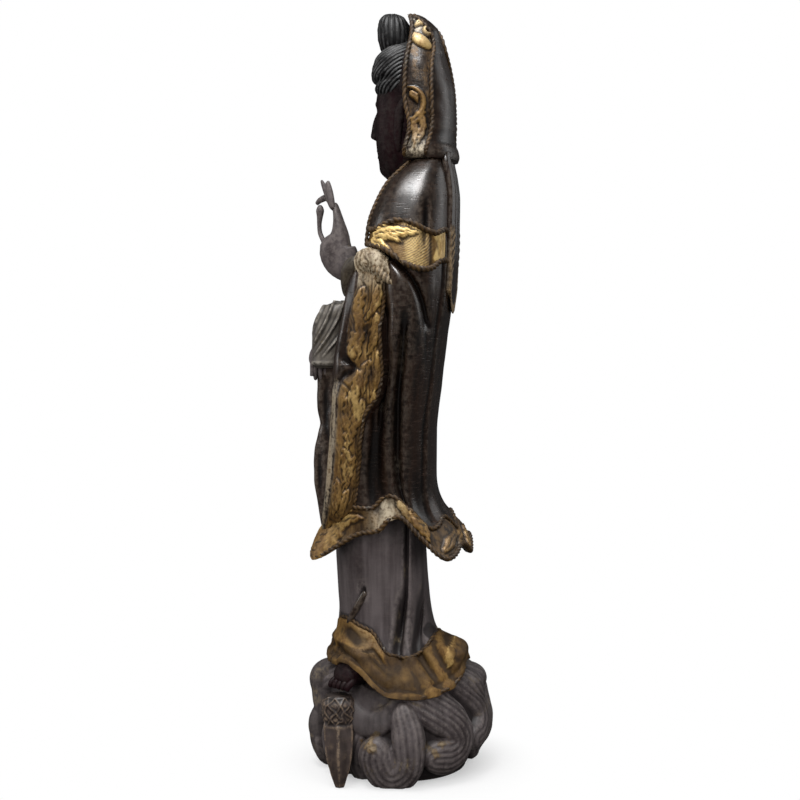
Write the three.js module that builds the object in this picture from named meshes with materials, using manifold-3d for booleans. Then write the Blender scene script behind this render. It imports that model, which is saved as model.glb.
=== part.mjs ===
// A carved and parcel-gilt wooden guanyin standing on a base of swirling clouds.
// Millimetres, +Z up. The figure faces -Y, so its left side is +X. The origin is on the ground, under the
// middle of the base.
import * as THREE from "three";
import { mergeVertices } from "three/addons/utils/BufferGeometryUtils.js";
import Module from "manifold-3d";

const wasm = await Module();
wasm.setup();

// Driving sizes
const FIGURE_HEIGHT = 522; // crown of the clouds to the top of the bun
const BASE_HEIGHT = 88; // ground to the crown of the clouds, where the figure stands
const BASE_RADIUS = 74; // out to the rim of the clouds
const PILLAR_WIDTH = 25; // the faceted rock under the left foot
const SEAT_GAP = 0.35; // clearance between the figure and the clouds that it stands on
const HEM_THICKNESS = 4.5; // the cut edge of the outer robe
const HEM_HOLLOW = 16; // how deep the robe is undercut above its edge

const TAU = Math.PI * 2;
const DEGREE = Math.PI / 180;

// The figure's pose, outlines and carving are written for a figure 522 high and follow its height.
const k = FIGURE_HEIGHT / 522;

// The clouds are written for a base 88 high and 74 in radius, and follow those sizes.
const baseRise = BASE_HEIGHT / 88;
const baseSpread = BASE_RADIUS / 74;

// A smooth curve through [place, value] pairs, level beyond both ends.
function profile(pairs) {
  const last = pairs.length - 1;
  const rise = (i) => (pairs[i + 1][1] - pairs[i][1]) / (pairs[i + 1][0] - pairs[i][0]);
  const slope = pairs.map((_, i) => {
    if (i === 0 || i === last || rise(i - 1) * rise(i) <= 0) return 0;
    return (2 * rise(i - 1) * rise(i)) / (rise(i - 1) + rise(i));
  });
  return (place) => {
    const x = Math.min(Math.max(place, pairs[0][0]), pairs[last][0]);
    let i = 0;
    while (i < last - 1 && x > pairs[i + 1][0]) i++;
    const width = pairs[i + 1][0] - pairs[i][0];
    const t = (x - pairs[i][0]) / width;
    const start = (1 + 2 * t) * (1 - t) ** 2 * pairs[i][1] + t * (1 - t) ** 2 * width * slope[i];
    const end = t * t * (3 - 2 * t) * pairs[i + 1][1] + t * t * (t - 1) * width * slope[i + 1];
    return start + end;
  };
}

// The same for a value that changes round the body: pairs of [degrees from the figure's left, value], where
// 90 is its back and -90 its front.
function roundProfile(pairs) {
  const turn = (shift) => pairs.map(([angle, value]) => [angle + shift, value]);
  const curve = profile([...turn(-360), ...pairs, ...turn(360)]);
  return (angle) => curve(Math.atan2(Math.sin(angle), Math.cos(angle)) / DEGREE);
}

function ease(from, to, value) {
  const t = Math.min(1, Math.max(0, (value - from) / (to - from)));
  return t * t * (3 - 2 * t);
}

const hill = (value, middle, width) => Math.exp(-(((value - middle) / width) ** 2));
const mix = (a, b, share) => a + (b - a) * share;

// A closed skin over rings of points, from the bottom up. Each ring gives its point at an angle, and the
// first and last are single points.
function skin(rings, around) {
  const ball = new THREE.SphereGeometry(1, around, rings.length - 1);
  const spot = ball.getAttribute("uv");
  const place = ball.getAttribute("position");
  for (let i = 0; i < place.count; i++) {
    const ring = Math.round(spot.getY(i) * (rings.length - 1));
    const angle = (Math.round(spot.getX(i) * around) % around) * (TAU / around);
    place.setXYZ(i, ...rings[ring](angle));
  }
  return solid(ball);
}

function solid(geometry) {
  geometry.deleteAttribute("normal");
  geometry.deleteAttribute("uv");
  const closed = mergeVertices(geometry);
  return new wasm.Manifold(
    new wasm.Mesh({
      numProp: 3,
      vertProperties: new Float32Array(closed.getAttribute("position").array),
      triVerts: new Uint32Array(closed.index.array),
    }),
  );
}

const join = (solids) => solids.reduce((whole, one) => whole.add(one));

// Reach of a rounded oblong at an angle: a across, b from its middle to its front and back.
function oblong(angle, a, b, power) {
  const across = Math.abs(Math.cos(angle) / a) ** power;
  const along = Math.abs(Math.sin(angle) / b) ** power;
  return (across + along) ** (-1 / power);
}

// A point on the figure: its height is counted from the crown of the clouds.
const spot = (x, y, height) => [x * k, y * k, BASE_HEIGHT + height * k];

// A finger, arm or fold: a round-ended tube through points of [x, y, height, half width, half depth], with its
// width along side.
function limb(points, side, rings, around) {
  const steps = points.length - 1;
  const path = new THREE.CatmullRomCurve3(points.map((p) => new THREE.Vector3(p[0], p[1], p[2])));
  const width = profile(points.map((p, i) => [i / steps, p[3]]));
  const depth = profile(points.map((p, i) => [i / steps, p[4]]));
  const across = new THREE.Vector3(...side);
  const ring = (step) => (angle) => {
    const t = (1 - Math.cos((step / rings) * Math.PI)) / 2;
    const middle = path.getPoint(t);
    const along = path.getTangent(t);
    const sideways = across.clone().addScaledVector(along, -across.dot(along)).normalize();
    const outward = along.clone().cross(sideways);
    const size = (1 - (2 * t - 1) ** 2) ** 0.18;
    middle.addScaledVector(sideways, Math.cos(angle) * width(t) * size);
    middle.addScaledVector(outward, Math.sin(angle) * depth(t) * size);
    return spot(middle.x, middle.y, middle.z);
  };
  return skin([...Array(rings + 1).keys()].map(ring), around);
}

// Carved folds: each runs up the cloth where y(height) says, pushing it out by depth or in by a negative one,
// between two heights.
function folds(list) {
  return (y, height) =>
    list.reduce((sum, fold) => {
      const fade = ease(fold.from, fold.from + 24, height) * (1 - ease(fold.to - 24, fold.to, height));
      return sum + fold.depth * fade * hill(y, fold.y(height), fold.width);
    }, 0);
}

// Outer robe

const robeHalfWidth = profile([[104, 58], [140, 58], [190, 62], [240, 67], [290, 71], [322, 68], [356, 56]]);
const robeFront = profile([[104, -53], [162, -48], [212, -44], [262, -38], [297, -34], [330, -24]]);
const robeBack = profile([[100, 36], [122, 29], [147, 26], [180, 27], [221, 31], [262, 36.5], [295, 42], [340, 42]]);
const hemHeight = roundProfile([
  [-150, 100], [-124, 82], [-104, 108], [-90, 122], [-78, 113], [-50, 85], [-37, 96], [-24, 105], [-9, 108],
  [5, 124], [21, 106], [39, 88], [62, 95], [90, 84], [118, 94], [141, 86], [160, 106], [176, 120],
]);
const hemReach = roundProfile([
  [-150, 67], [-124, 83], [-104, 62], [-90, 52], [-78, 56], [-50, 81], [-37, 69], [-24, 62], [5, 60],
  [21, 62], [39, 69], [62, 59], [90, 57], [118, 60], [141, 68], [160, 62], [176, 60],
]);

const nearFolds = folds([
  { y: profile([[130, -20], [215, -9], [290, -4]]), depth: -5, width: 4, from: 118, to: 300 },
  { y: profile([[130, -3], [210, 1], [290, 5]]), depth: 3, width: 4, from: 112, to: 300 },
  { y: profile([[130, 8], [290, 8.5]]), depth: -5, width: 3.4, from: 122, to: 296 },
  { y: profile([[130, 14], [290, 14.5]]), depth: 2.6, width: 3, from: 106, to: 292 },
  { y: profile([[130, 20], [290, 18.5]]), depth: -4, width: 2.8, from: 106, to: 284 },
  { y: profile([[100, 40], [130, 33], [290, 35]]), depth: -2.4, width: 2.4, from: 92, to: 320 },
]);
const farFolds = folds([
  { y: profile([[130, -30], [290, -12]]), depth: -5, width: 5, from: 112, to: 300 },
  { y: profile([[130, -12], [290, -2]]), depth: 3, width: 5, from: 106, to: 300 },
  { y: profile([[130, 4], [290, 8]]), depth: -4.5, width: 4, from: 112, to: 290 },
  { y: profile([[130, 22], [290, 20]]), depth: -4, width: 3.6, from: 100, to: 300 },
]);

function robePoint(angle, height, share) {
  const a = robeHalfWidth(height);
  const front = robeFront(height);
  const back = robeBack(height);
  const middle = (front + back) / 2;
  const reach = oblong(angle, a, (back - front) / 2, 2.5);
  let x = reach * Math.cos(angle);
  let y = middle + reach * Math.sin(angle);
  const side = Math.abs(Math.cos(angle)) ** 0.5;
  const relief = (x > 0 ? nearFolds : farFolds)(y, height) * side;
  x += relief * Math.cos(angle);
  y += relief * Math.sin(angle) * 0.3;
  const parting = hill(x, 0, 20) * ease(0.1, -0.5, Math.sin(angle));
  y += 9 * parting;
  y += 2.4 * ease(39, 34, Math.abs(x)) * ease(0.2, 0.5, Math.sin(angle));
  const flare = (1 - ease(0, 0.36, share)) ** 2.4;
  x = mix(x, hemReach(angle) * Math.cos(angle), flare);
  y = mix(y, hemReach(angle) * Math.sin(angle), flare);
  return [x, y];
}

function robe() {
  const top = 340;
  const steps = 15;
  const wall = [...Array(steps + 1).keys()].map((step) => (angle) => {
    const share = step / steps;
    const height = mix(hemHeight(angle), top, share ** 1.15);
    return spot(...robePoint(angle, height, share), height);
  });
  const inner = (rise, inset) => (angle) => {
    const height = hemHeight(angle) + rise;
    const reach = hemReach(angle) - inset;
    return spot(reach * Math.cos(angle), reach * Math.sin(angle), height);
  };
  return skin(
    [
      () => spot(0, 0, 108 + HEM_HOLLOW / k),
      inner(HEM_HOLLOW / k, 22),
      inner(1.2, HEM_THICKNESS / k),
      ...wall,
      () => spot(0, 4, top + 4),
    ],
    40,
  );
}

// A hanging sleeve: an oval loft down from the forearm, the far one further forward.
function sleeve(side, forward, rows) {
  const row = (list, column) => profile(list.map((r) => [r[0], r[column]]));
  const x = row(rows, 1);
  const front = row(rows, 2);
  const rear = row(rows, 3);
  const thickness = row(rows, 4);
  const low = rows[0][0];
  const high = rows[rows.length - 1][0];
  const steps = 9;
  const ring = (step) => (angle) => {
    const height = mix(low, high, step / steps);
    const length = (rear(height) - front(height)) / 2;
    const reach = oblong(angle, thickness(height), length, 2.3);
    const y = (rear(height) + front(height)) / 2 + reach * Math.sin(angle);
    const wave = 1.6 * Math.sin(y * 0.42 + forward) * ease(low, low + 40, height);
    const out = Math.max(0, side * Math.cos(angle));
    return spot(side * x(height) + reach * Math.cos(angle) + side * wave * out, y, height);
  };
  const middle = (height) => spot(side * x(height), (rear(height) + front(height)) / 2, height);
  return skin(
    [() => middle(low - 3), ...[...Array(steps + 1).keys()].map(ring), () => middle(high + 3)],
    16,
  );
}

const nearSleeve = () =>
  sleeve(1, 0, [
    [92, 46, -66, -40, 5],
    [112, 49, -58, -24, 9],
    [160, 51, -47, -12, 12],
    [210, 52, -43, -3, 14],
    [262, 53, -38, 6, 15],
    [294, 53, -33, 10, 15],
    [308, 51, -28, 4, 11],
  ]);
const farSleeve = () =>
  sleeve(-1, 2, [
    [88, 47, -76, -46, 5],
    [110, 50, -80, -32, 9],
    [142, 51, -80, -22, 12],
    [175, 52, -74, -14, 13],
    [215, 53, -78, -6, 14],
    [262, 53, -74, 2, 14],
    [288, 53, -60, 8, 12],
  ]);

// Shawl over the shoulders, with its gilt border below

const shawlHem = roundProfile([
  [-150, 300], [-120, 316], [-90, 330], [-60, 326], [-38, 324], [-14, 320], [8, 310], [22, 301], [36, 304],
  [52, 312], [66, 296], [90, 283], [114, 296], [128, 312], [150, 303], [172, 308],
]);
const shawlHalfWidth = profile([[290, 72], [316, 73], [340, 70], [366, 62], [384, 50], [396, 36], [402, 22]]);
const shawlFront = profile([[290, -34], [324, -29], [338, -24], [362, -14], [388, -2], [402, 6]]);
const shawlBack = profile([[270, 43], [300, 45], [340, 46], [368, 45], [386, 42], [402, 37]]);

function shawl() {
  const steps = 8;
  const ring = (step) => (angle) => {
    const share = step / steps;
    const height = mix(shawlHem(angle), 402, share ** 0.9);
    const front = shawlFront(height);
    const back = shawlBack(height);
    const reach = oblong(angle, shawlHalfWidth(height), (back - front) / 2, 2.3);
    const x = reach * Math.cos(angle);
    const y = (front + back) / 2 + reach * Math.sin(angle);
    return spot(x, y + 6 * hill(x, 0, 18) * ease(0, -0.6, Math.sin(angle)), height);
  };
  return skin(
    [() => spot(0, 6, 296), ...[...Array(steps + 1).keys()].map(ring), () => spot(0, 22, 405)],
    30,
  );
}

// Neck and chest seen in the shawl's opening
const chest = () =>
  limb([[0, 0, 300, 34, 30], [0, 2, 350, 34, 26], [0, 8, 384, 22, 20], [0, 8, 404, 17, 17]], [1, 0, 0], 6, 12);

// Head, turned a little to the figure's right

const HEAD_TURN = -14 * DEGREE;

function turned(x, y, height) {
  const back = y - 8;
  const c = Math.cos(HEAD_TURN);
  const s = Math.sin(HEAD_TURN);
  return spot(x * c - back * s, 8 + x * s + back * c, height);
}

const faceHalfWidth = profile([
  [380, 7], [384, 15], [394, 23], [410, 28], [430, 30], [450, 30], [470, 28], [482, 24], [489, 14],
]);
const faceFront = profile([
  [380, -13], [384, -20], [392, -25.5], [402, -27.5], [416, -29.5], [436, -30], [446, -31], [462, -31],
  [474, -28], [484, -20], [489, -8],
]);
const headBack = profile([[380, 14], [400, 30], [440, 36], [480, 28], [489, 14]]);

// Brow, eyelids, nose, lips and chin, as heights added to the front of the head
function features(x, height) {
  const nose = 8.5 * hill(x, 0, 3.4) * ease(440, 420, height) * ease(414, 419, height);
  const bridge = 3 * hill(x, 0, 3.2) * hill(height, 434, 9);
  const wings = 3 * hill(Math.abs(x), 3.6, 2.2) * hill(height, 420, 3);
  const sockets = -3.2 * hill(Math.abs(x), 11.5, 6) * hill(height, 437, 5);
  const lids = 2 * hill(Math.abs(x), 11.5, 5) * hill(height, 433, 3);
  const brow = 1.4 * hill(Math.abs(x), 11, 8) * hill(height, 446, 3.4);
  const lips = 2.6 * hill(x, 0, 6) * (hill(height, 407, 2.4) + hill(height, 402.4, 2.2));
  const chin = 2.4 * hill(x, 0, 8) * hill(height, 391, 6);
  return nose + bridge + wings + sockets + lids + brow + lips + chin;
}

function head() {
  const steps = 17;
  const ring = (step) => (turn) => {
    const angle = turn - 0.45 * Math.cos(turn);
    const height = mix(381, 489, step / steps);
    const front = faceFront(height);
    const back = headBack(height) - 8;
    const middle = (front + back) / 2;
    const reach = oblong(angle, faceHalfWidth(height), (back - front) / 2, 2.25);
    const x = reach * Math.cos(angle);
    const facing = ease(0.2, -0.6, Math.sin(angle));
    const y = middle + reach * Math.sin(angle) - features(x, height) * facing;
    return turned(x, y + 8, height);
  };
  return skin(
    [() => turned(0, 8, 378), ...[...Array(steps + 1).keys()].map(ring), () => turned(0, 12, 492)],
    22,
  );
}

// Swept-back hair with combed ridges
function hair() {
  const steps = 5;
  const halfWidth = profile([[452, 31], [464, 33], [476, 31], [486, 23], [494, 8]]);
  const front = profile([[452, -31], [464, -32.5], [478, -30.5], [488, -23], [494, -10]]);
  const ring = (step) => (angle) => {
    const height = mix(452, 493, step / steps);
    const lift = 8 * Math.abs(Math.cos(angle)) ** 2 * (1 - step / steps);
    const reach = oblong(angle, halfWidth(height), (26 - front(height)) / 2, 2.2);
    const comb = 1 * Math.cos(angle * 15 + height * 0.14);
    const x = (reach + comb) * Math.cos(angle);
    const y = (26 + front(height)) / 2 + (reach + comb) * Math.sin(angle);
    return turned(x, y + 8, height - lift);
  };
  return skin(
    [() => turned(0, 8, 450), ...[...Array(steps + 1).keys()].map(ring), () => turned(0, 8, 496)],
    24,
  );
}

// Topknot, rolled forward, with a hollow at each end of the roll
function bun() {
  const steps = 7;
  const ring = (step) => (angle) => {
    const tilt = ((step + 0.5) / (steps + 1)) * Math.PI;
    const x = 17 * Math.cos(tilt) * -1;
    const out = Math.sin(tilt) ** 0.7;
    const hollow = step === 0 || step === steps ? 0.55 : 1;
    const reachY = 15.5 * out * hollow;
    const reachZ = 20 * out * hollow;
    return turned(x, -12.5 + 8 + reachY * Math.cos(angle), 501 + reachZ * Math.sin(angle));
  };
  return skin(
    [() => turned(-9, -4.5, 501), ...[...Array(steps + 1).keys()].map(ring), () => turned(9, -4.5, 501)],
    12,
  );
}

// Hood: a thick veil from over the bun down to the shoulders, open in front
const hoodHalfWidth = profile([
  [396, 34], [408, 35], [440, 36], [468, 34], [484, 29], [496, 23], [508, 17], [518, 9],
]);
const hoodBack = profile([
  [396, 30], [406, 32.5], [424, 33], [447, 35], [462, 34], [476, 30.5], [487, 27], [498, 23], [508, 17],
  [518, 8],
]);
const hoodFront = profile([[396, 3], [440, 1], [470, 0], [490, 5], [504, 3], [518, -2]]);

function hood() {
  const steps = 10;
  const ring = (step) => (angle) => {
    const height = mix(400, 518, (step / steps) ** 0.9);
    const back = hoodBack(height);
    const front = hoodFront(height);
    const a = hoodHalfWidth(height);
    const sine = Math.sin(angle);
    const reach = oblong(angle, a, sine > 0 ? back - 10 : 12, 2.3);
    const x = reach * Math.cos(angle);
    const y = Math.max(front, 10 + reach * sine);
    return turned(x, y + 8, height);
  };
  return skin(
    [() => turned(0, 20, 398), ...[...Array(steps + 1).keys()].map(ring), () => turned(0, 12, 520)],
    20,
  );
}

// Back of the veil, from under the hood to the shawl
const veil = () =>
  limb([[0, 26, 372, 30, 12], [0, 26, 392, 27, 11], [0, 25, 412, 26, 12]], [1, 0, 0], 5, 14);

const ears = () =>
  [1, -1].map((side) => {
    const height = 426;
    const lobe = (x, y, z, w, d) => {
      const c = Math.cos(HEAD_TURN);
      const s = Math.sin(HEAD_TURN);
      return [x * c - y * s, 8 + x * s + y * c, z, w, d];
    };
    return limb(
      [
        lobe(side * 27, -4, height - 16, 2.6, 3),
        lobe(side * 29, -4, height - 6, 3, 3.4),
        lobe(side * 30, -2, height + 10, 3, 4.4),
        lobe(side * 29, 1, height + 20, 2, 2.4),
      ],
      [1, 0, 0],
      5,
      7,
    );
  });

// Left hand, raised with the forefinger bent to the thumb
function leftHand() {
  const across = [1, 0, 0];
  return [
    limb([[46, -22, 296, 13, 14], [45, -34, 305, 11, 12], [44, -43, 316, 10, 9]], across, 6, 10),
    limb([[44, -40, 304, 9, 8], [44, -46, 324, 11.5, 7.5], [44, -47, 352, 11.5, 4.5]], across, 6, 10),
    limb([[50.5, -45, 340, 2.7, 3], [50.5, -49, 358, 2.5, 2.6], [50, -52, 380, 2, 2]], across, 5, 6),
    limb([[46, -46, 344, 2.8, 3], [46, -50, 362, 2.6, 2.6], [45.5, -53, 383, 2, 2]], across, 5, 6),
    limb([[41.5, -48, 346, 2.8, 3], [41.5, -52, 362, 2.6, 2.6], [41, -58, 384, 2, 2]], across, 5, 6),
    limb(
      [[37, -47, 346, 3, 3], [37, -53, 360, 2.9, 2.9], [37, -58, 362.5, 2.7, 2.7], [36.5, -63, 358, 2.4, 2.4]],
      across,
      7,
      7,
    ),
    limb(
      [[38, -48, 310, 5, 7], [36, -56, 322, 3.6, 4.4], [35.5, -61, 338, 2.5, 2.6], [36, -61, 358, 3.6, 3.8]],
      across,
      8,
      8,
    ),
  ];
}

// Right hand, lowered from its cuff with the fingers down
function rightHand() {
  const across = [1, 0, 0];
  const along = [0, 1, 0];
  const cuff = limb(
    [[-66, 8, 272, 14, 14], [-60, -26, 276, 15, 14], [-54, -52, 273, 16, 15], [-51, -66, 250, 13, 16]],
    across,
    7,
    12,
  );
  const palm = limb([[-50, -67, 262, 14, 9], [-50, -68, 244, 14, 8], [-50, -71, 226, 12.5, 5]], along, 5, 10);
  const fingers = [0, 1, 2, 3].map((i) => {
    const y = -79.5 + 4.8 * i;
    return limb([[-49, y, 236, 2.4, 3.4], [-48, y, 228, 2.3, 3], [-49, y, 220, 1.9, 2.2]], along, 4, 7);
  });
  const thumb = limb([[-45, -80, 246, 2.6, 3], [-44, -83, 233, 1.8, 1.8], [-44, -83.5, 222, 2.6, 2.6]], along, 5, 6);
  return [cuff, palm, ...fingers, thumb];
}

// Inner robe: a plain skirt with pleats at the side, and its gilt hem spread over the clouds

const skirtHalfWidth = profile([[6, 46], [40, 43], [100, 44], [152, 40]]);
const skirtFront = profile([[6, -51], [40, -49], [100, -49], [152, -36]]);
const skirtBack = profile([[6, 31], [24, 27], [50, 23], [100, 20], [140, 20]]);
const spreadHeight = roundProfile([
  [-160, -16], [-130, -2], [-105, 3], [-90, 4], [-72, 3], [-50, 4], [-34, -2], [-16, -17], [10, -21],
  [32, -14], [50, -5], [66, -8], [90, 2], [120, -10], [150, -18], [180, -20],
]);
const spreadReach = roundProfile([
  [-160, 68], [-130, 62], [-105, 62], [-90, 58], [-72, 60], [-50, 60], [-34, 64], [-16, 70], [10, 72],
  [32, 71], [50, 69], [66, 65], [90, 54], [120, 64], [150, 69], [180, 69],
]);

function skirt() {
  const steps = 8;
  const pleats = folds([
    { y: () => 7, depth: -4, width: 3, from: -10, to: 124 },
    { y: () => 13, depth: 1.8, width: 3, from: -10, to: 124 },
    { y: profile([[20, 21], [80, 18.5]]), depth: -4, width: 3, from: -10, to: 124 },
  ]);
  const ring = (step) => (angle) => {
    const share = step / steps;
    const height = mix(spreadHeight(angle), 152, share ** 1.5);
    const front = skirtFront(height);
    const back = skirtBack(height);
    const reach = oblong(angle, skirtHalfWidth(height), (back - front) / 2, 2.3);
    const y0 = (front + back) / 2 + reach * Math.sin(angle);
    const relief = pleats(y0, height) * Math.abs(Math.cos(angle)) ** 0.5;
    const flare = (1 - ease(0, 0.42, share)) ** 1.5;
    const x = mix((reach + relief) * Math.cos(angle), spreadReach(angle) * Math.cos(angle), flare);
    const y = mix(y0, spreadReach(angle) * Math.sin(angle), flare);
    return spot(x, y, height);
  };
  const under = (angle) => {
    const reach = spreadReach(angle) - 6;
    return spot(reach * Math.cos(angle), reach * Math.sin(angle), spreadHeight(angle) - 1);
  };
  return skin(
    [() => spot(0, 0, -24), under, ...[...Array(steps + 1).keys()].map(ring), () => spot(0, -10, 156)],
    32,
  );
}

// A small roll of cloth that hangs from a slot on the left of the skirt
const peg = () =>
  limb([[42, -23, 59, 2.8, 2.8], [41, -30, 46, 2.8, 2.8], [36, -38, 32, 2.6, 2.6]], [1, 0, 0], 5, 7);

// Left foot, turned out over the pillar
function leftFoot() {
  const out = [0.6, 0.5, 0];
  const instep = limb([[24, -24, 2, 12, 12], [36, -36, -5, 12, 9], [46, -45, -14, 10, 4]], out, 6, 12);
  const toes = [0, 1, 2, 3, 4].map((i) => {
    const x = 46.5 + 3.4 * (i - 2);
    const y = -46.5 + 3.2 * (i - 2);
    return limb([[x - 5, y + 5, -11, 2.2, 3], [x + 2, y - 2, -17, 2.2, 2.6]], out, 4, 6);
  });
  return [instep, ...toes];
}

// Cloud base

// A scroll of cloud at an angle round the base: its middle is out from the axis and up from the ground, with
// half sizes round the base, up it and out of it. Each leans over like a wave by lean.
function cloud([angle, out, up, around, tall, deep, lean], gap) {
  const a = angle * DEGREE;
  const c = Math.cos(lean * DEGREE);
  const s = Math.sin(lean * DEGREE);
  const steps = 5;
  const ring = (step) => (turn) => {
    const middle = Math.cos((step / steps) * Math.PI);
    const size = Math.max(0, 1 - middle * middle) ** 0.42;
    const u = (around * baseSpread + gap) * size * Math.cos(turn);
    const v = (tall * baseRise + gap) * size * Math.sin(turn);
    const radius = out * baseSpread - (deep * baseSpread + gap) * middle;
    const tangent = u * c - v * s;
    return [
      radius * Math.cos(a) - tangent * Math.sin(a),
      radius * Math.sin(a) + tangent * Math.cos(a),
      up * baseRise + u * s + v * c,
    ];
  };
  return skin([...Array(steps + 1).keys()].map(ring), 9);
}

// The scrolls on the left, as they lap over one another, then those in pairs round the other sides
const leftScrolls = [
  [-11, 63, 15, 18, 23, 18, 0],
  [10, 62, 31, 16, 30, 17, -6],
  [33, 61, 24, 19, 20, 17, 0],
  [34, 54, 44, 27, 23, 13, 30],
  [-14, 56, 52, 24, 12, 12, 10],
  [66, 60, 40, 15, 26, 15, -12],
  [84, 48, 66, 22, 26, 16, 20],
  [-78, 56, 18, 15, 21, 15, 8],
  [-88, 56, 60, 17, 17, 18, 15],
  [-46, 50, 44, 18, 24, 14, 0],
];
const lowScrolls = [92, 116, 142, 168, 194, 220, 244, 264].map((angle, i) =>
  i % 2 ? [angle, 60, 36, 15, 27, 14, -8] : [angle, 58, 25, 18, 21, 15, 8],
);
const highScrolls = [118, 150, 182, 214, 246].map((angle, i) => [angle, 52, 56, 22, 19, 14, i % 2 ? -25 : 25]);

function mound(gap) {
  const rim = [[56, -4], [60, 12], [62, 30], [59, 50], [52, 66], [42, 79], [28, 86], [10, 88]];
  const line = new THREE.SplineCurve(
    rim.map(([r, z]) => new THREE.Vector2(r * baseSpread + gap, z * baseRise + gap)),
  );
  const points = [
    new THREE.Vector2(0, -4 * baseRise),
    ...line.getPoints(8),
    new THREE.Vector2(0, BASE_HEIGHT + gap),
  ];
  const lathe = new THREE.LatheGeometry(points, 24);
  lathe.rotateX(Math.PI / 2);
  return solid(lathe);
}

// The rock under the left foot: seven-sided, narrowing downwards, with a bound neck above
function pillar(gap) {
  const half = PILLAR_WIDTH / 2 + gap;
  const sizes = [[-3, 0.36], [6, 0.62], [22, 0.94], [46, 1.04], [49, 0.9], [52, 1.02], [62, 1.04], [66, 0.8]];
  const ring = ([height, size]) => (turn) => {
    return [
      56 * baseSpread + half * size * Math.cos(turn + 0.3),
      -42 * baseSpread + half * size * Math.sin(turn + 0.3),
      height * baseRise,
    ];
  };
  const end = (height) => () => [56 * baseSpread, -42 * baseSpread, height * baseRise];
  return skin([end(-3.5), ...sizes.map(ring), end(67)], 7);
}

function clouds(gap) {
  const scrolls = [...leftScrolls, ...lowScrolls, ...highScrolls];
  return join([mound(gap), pillar(gap), ...scrolls.map((scroll) => cloud(scroll, gap))]);
}

// A block as wide as anything here, to cut what reaches below the ground
function below(height) {
  const span = 6 * BASE_RADIUS;
  const block = new THREE.BoxGeometry(span, span, BASE_HEIGHT);
  block.translate(0, 0, height - BASE_HEIGHT / 2);
  return solid(block);
}

function figure() {
  const carved = join([
    robe(),
    nearSleeve(),
    farSleeve(),
    shawl(),
    chest(),
    head(),
    hair(),
    bun(),
    hood(),
    veil(),
    ...ears(),
    ...leftHand(),
    ...rightHand(),
    skirt(),
    peg(),
    ...leftFoot(),
  ]);
  return carved.subtract(clouds(SEAT_GAP)).subtract(below(BASE_HEIGHT / 3));
}

function mesh(name, body, colour, roughness) {
  const { vertProperties, triVerts } = body.getMesh();
  const geometry = new THREE.BufferGeometry();
  geometry.setAttribute("position", new THREE.BufferAttribute(vertProperties, 3));
  geometry.setIndex(new THREE.BufferAttribute(triVerts, 1));
  geometry.computeVertexNormals();
  const material = new THREE.MeshStandardMaterial({ color: colour, roughness, metalness: 0 });
  const made = new THREE.Mesh(geometry, material);
  made.name = name;
  return made;
}

const guanyin = new THREE.Group();
guanyin.add(mesh("figure", figure(), 0x3a2a22, 0.4));
guanyin.add(mesh("cloud_base", clouds(0).subtract(below(0)), 0x463a36, 0.6));

export default guanyin;
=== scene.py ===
"""A carved wooden guanyin in worn black lacquer and gilding, standing on a base of swirling clouds.

Sizes are in millimetres until a mesh is made. The figure faces -Y. Its left, the near side, is +X, and
its right is the far side. The ground is at height 0. Heights in the figure's own functions are counted
from the crown of the clouds, and z from the ground."""
import math

import bpy
import numpy as np
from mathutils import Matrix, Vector


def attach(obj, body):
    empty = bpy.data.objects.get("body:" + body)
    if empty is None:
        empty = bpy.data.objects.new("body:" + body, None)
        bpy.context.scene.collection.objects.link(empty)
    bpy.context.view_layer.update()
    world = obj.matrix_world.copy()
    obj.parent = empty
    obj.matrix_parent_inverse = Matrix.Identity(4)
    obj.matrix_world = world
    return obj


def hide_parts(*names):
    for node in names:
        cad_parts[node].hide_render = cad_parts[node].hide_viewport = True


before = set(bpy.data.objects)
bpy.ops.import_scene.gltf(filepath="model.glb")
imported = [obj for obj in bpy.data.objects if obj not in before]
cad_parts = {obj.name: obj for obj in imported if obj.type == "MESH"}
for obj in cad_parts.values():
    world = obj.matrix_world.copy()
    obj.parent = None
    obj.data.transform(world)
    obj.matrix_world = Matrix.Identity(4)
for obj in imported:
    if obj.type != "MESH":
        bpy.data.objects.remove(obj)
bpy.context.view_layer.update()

MM = 0.001
TAU = 2 * math.pi
CROWN = 88  # height of the clouds' crown, under the figure's feet
HEAD_TURN = math.radians(-14)
HEAD_AXIS = 8  # how far back the axis stands that the head turns on
MASKS = ("gilt", "pale", "edge", "hollow")
SIDEWAYS = [1, 0, 0]
FRONT_TO_BACK = [0, 1, 0]
BORDER_LEAVES = 14  # plain leaves round a border, beyond its near side
ROPE_SIDES = 10
OUT_OF_REACH = 1e6  # added to a distance where a place isn't to be chosen


# Curves and noise


def profile(pairs):
    """A smooth curve through [place, value] pairs, level beyond both ends."""
    place, value = np.array(pairs, float).T
    width = np.diff(place)
    rise = np.diff(value) / width
    slope = np.zeros_like(value)
    same = rise[:-1] * rise[1:] > 0
    slope[1:-1][same] = 2 * rise[:-1][same] * rise[1:][same] / (rise[:-1] + rise[1:])[same]

    def curve(at):
        x = np.clip(at, place[0], place[-1])
        i = np.clip(np.searchsorted(place, x, side="right") - 1, 0, len(place) - 2)
        t = (x - place[i]) / width[i]
        start = (1 + 2 * t) * (1 - t) ** 2 * value[i] + t * (1 - t) ** 2 * width[i] * slope[i]
        end = t * t * (3 - 2 * t) * value[i + 1] + t * t * (t - 1) * width[i] * slope[i + 1]
        return start + end

    return curve


def round_profile(pairs):
    """The same round the body: pairs of [degrees from the figure's left, value], 90 at its back."""
    curve = profile([[p + turn, v] for turn in (-360, 0, 360) for p, v in pairs])
    return lambda angle: curve(np.degrees(np.arctan2(np.sin(angle), np.cos(angle))))


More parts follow.
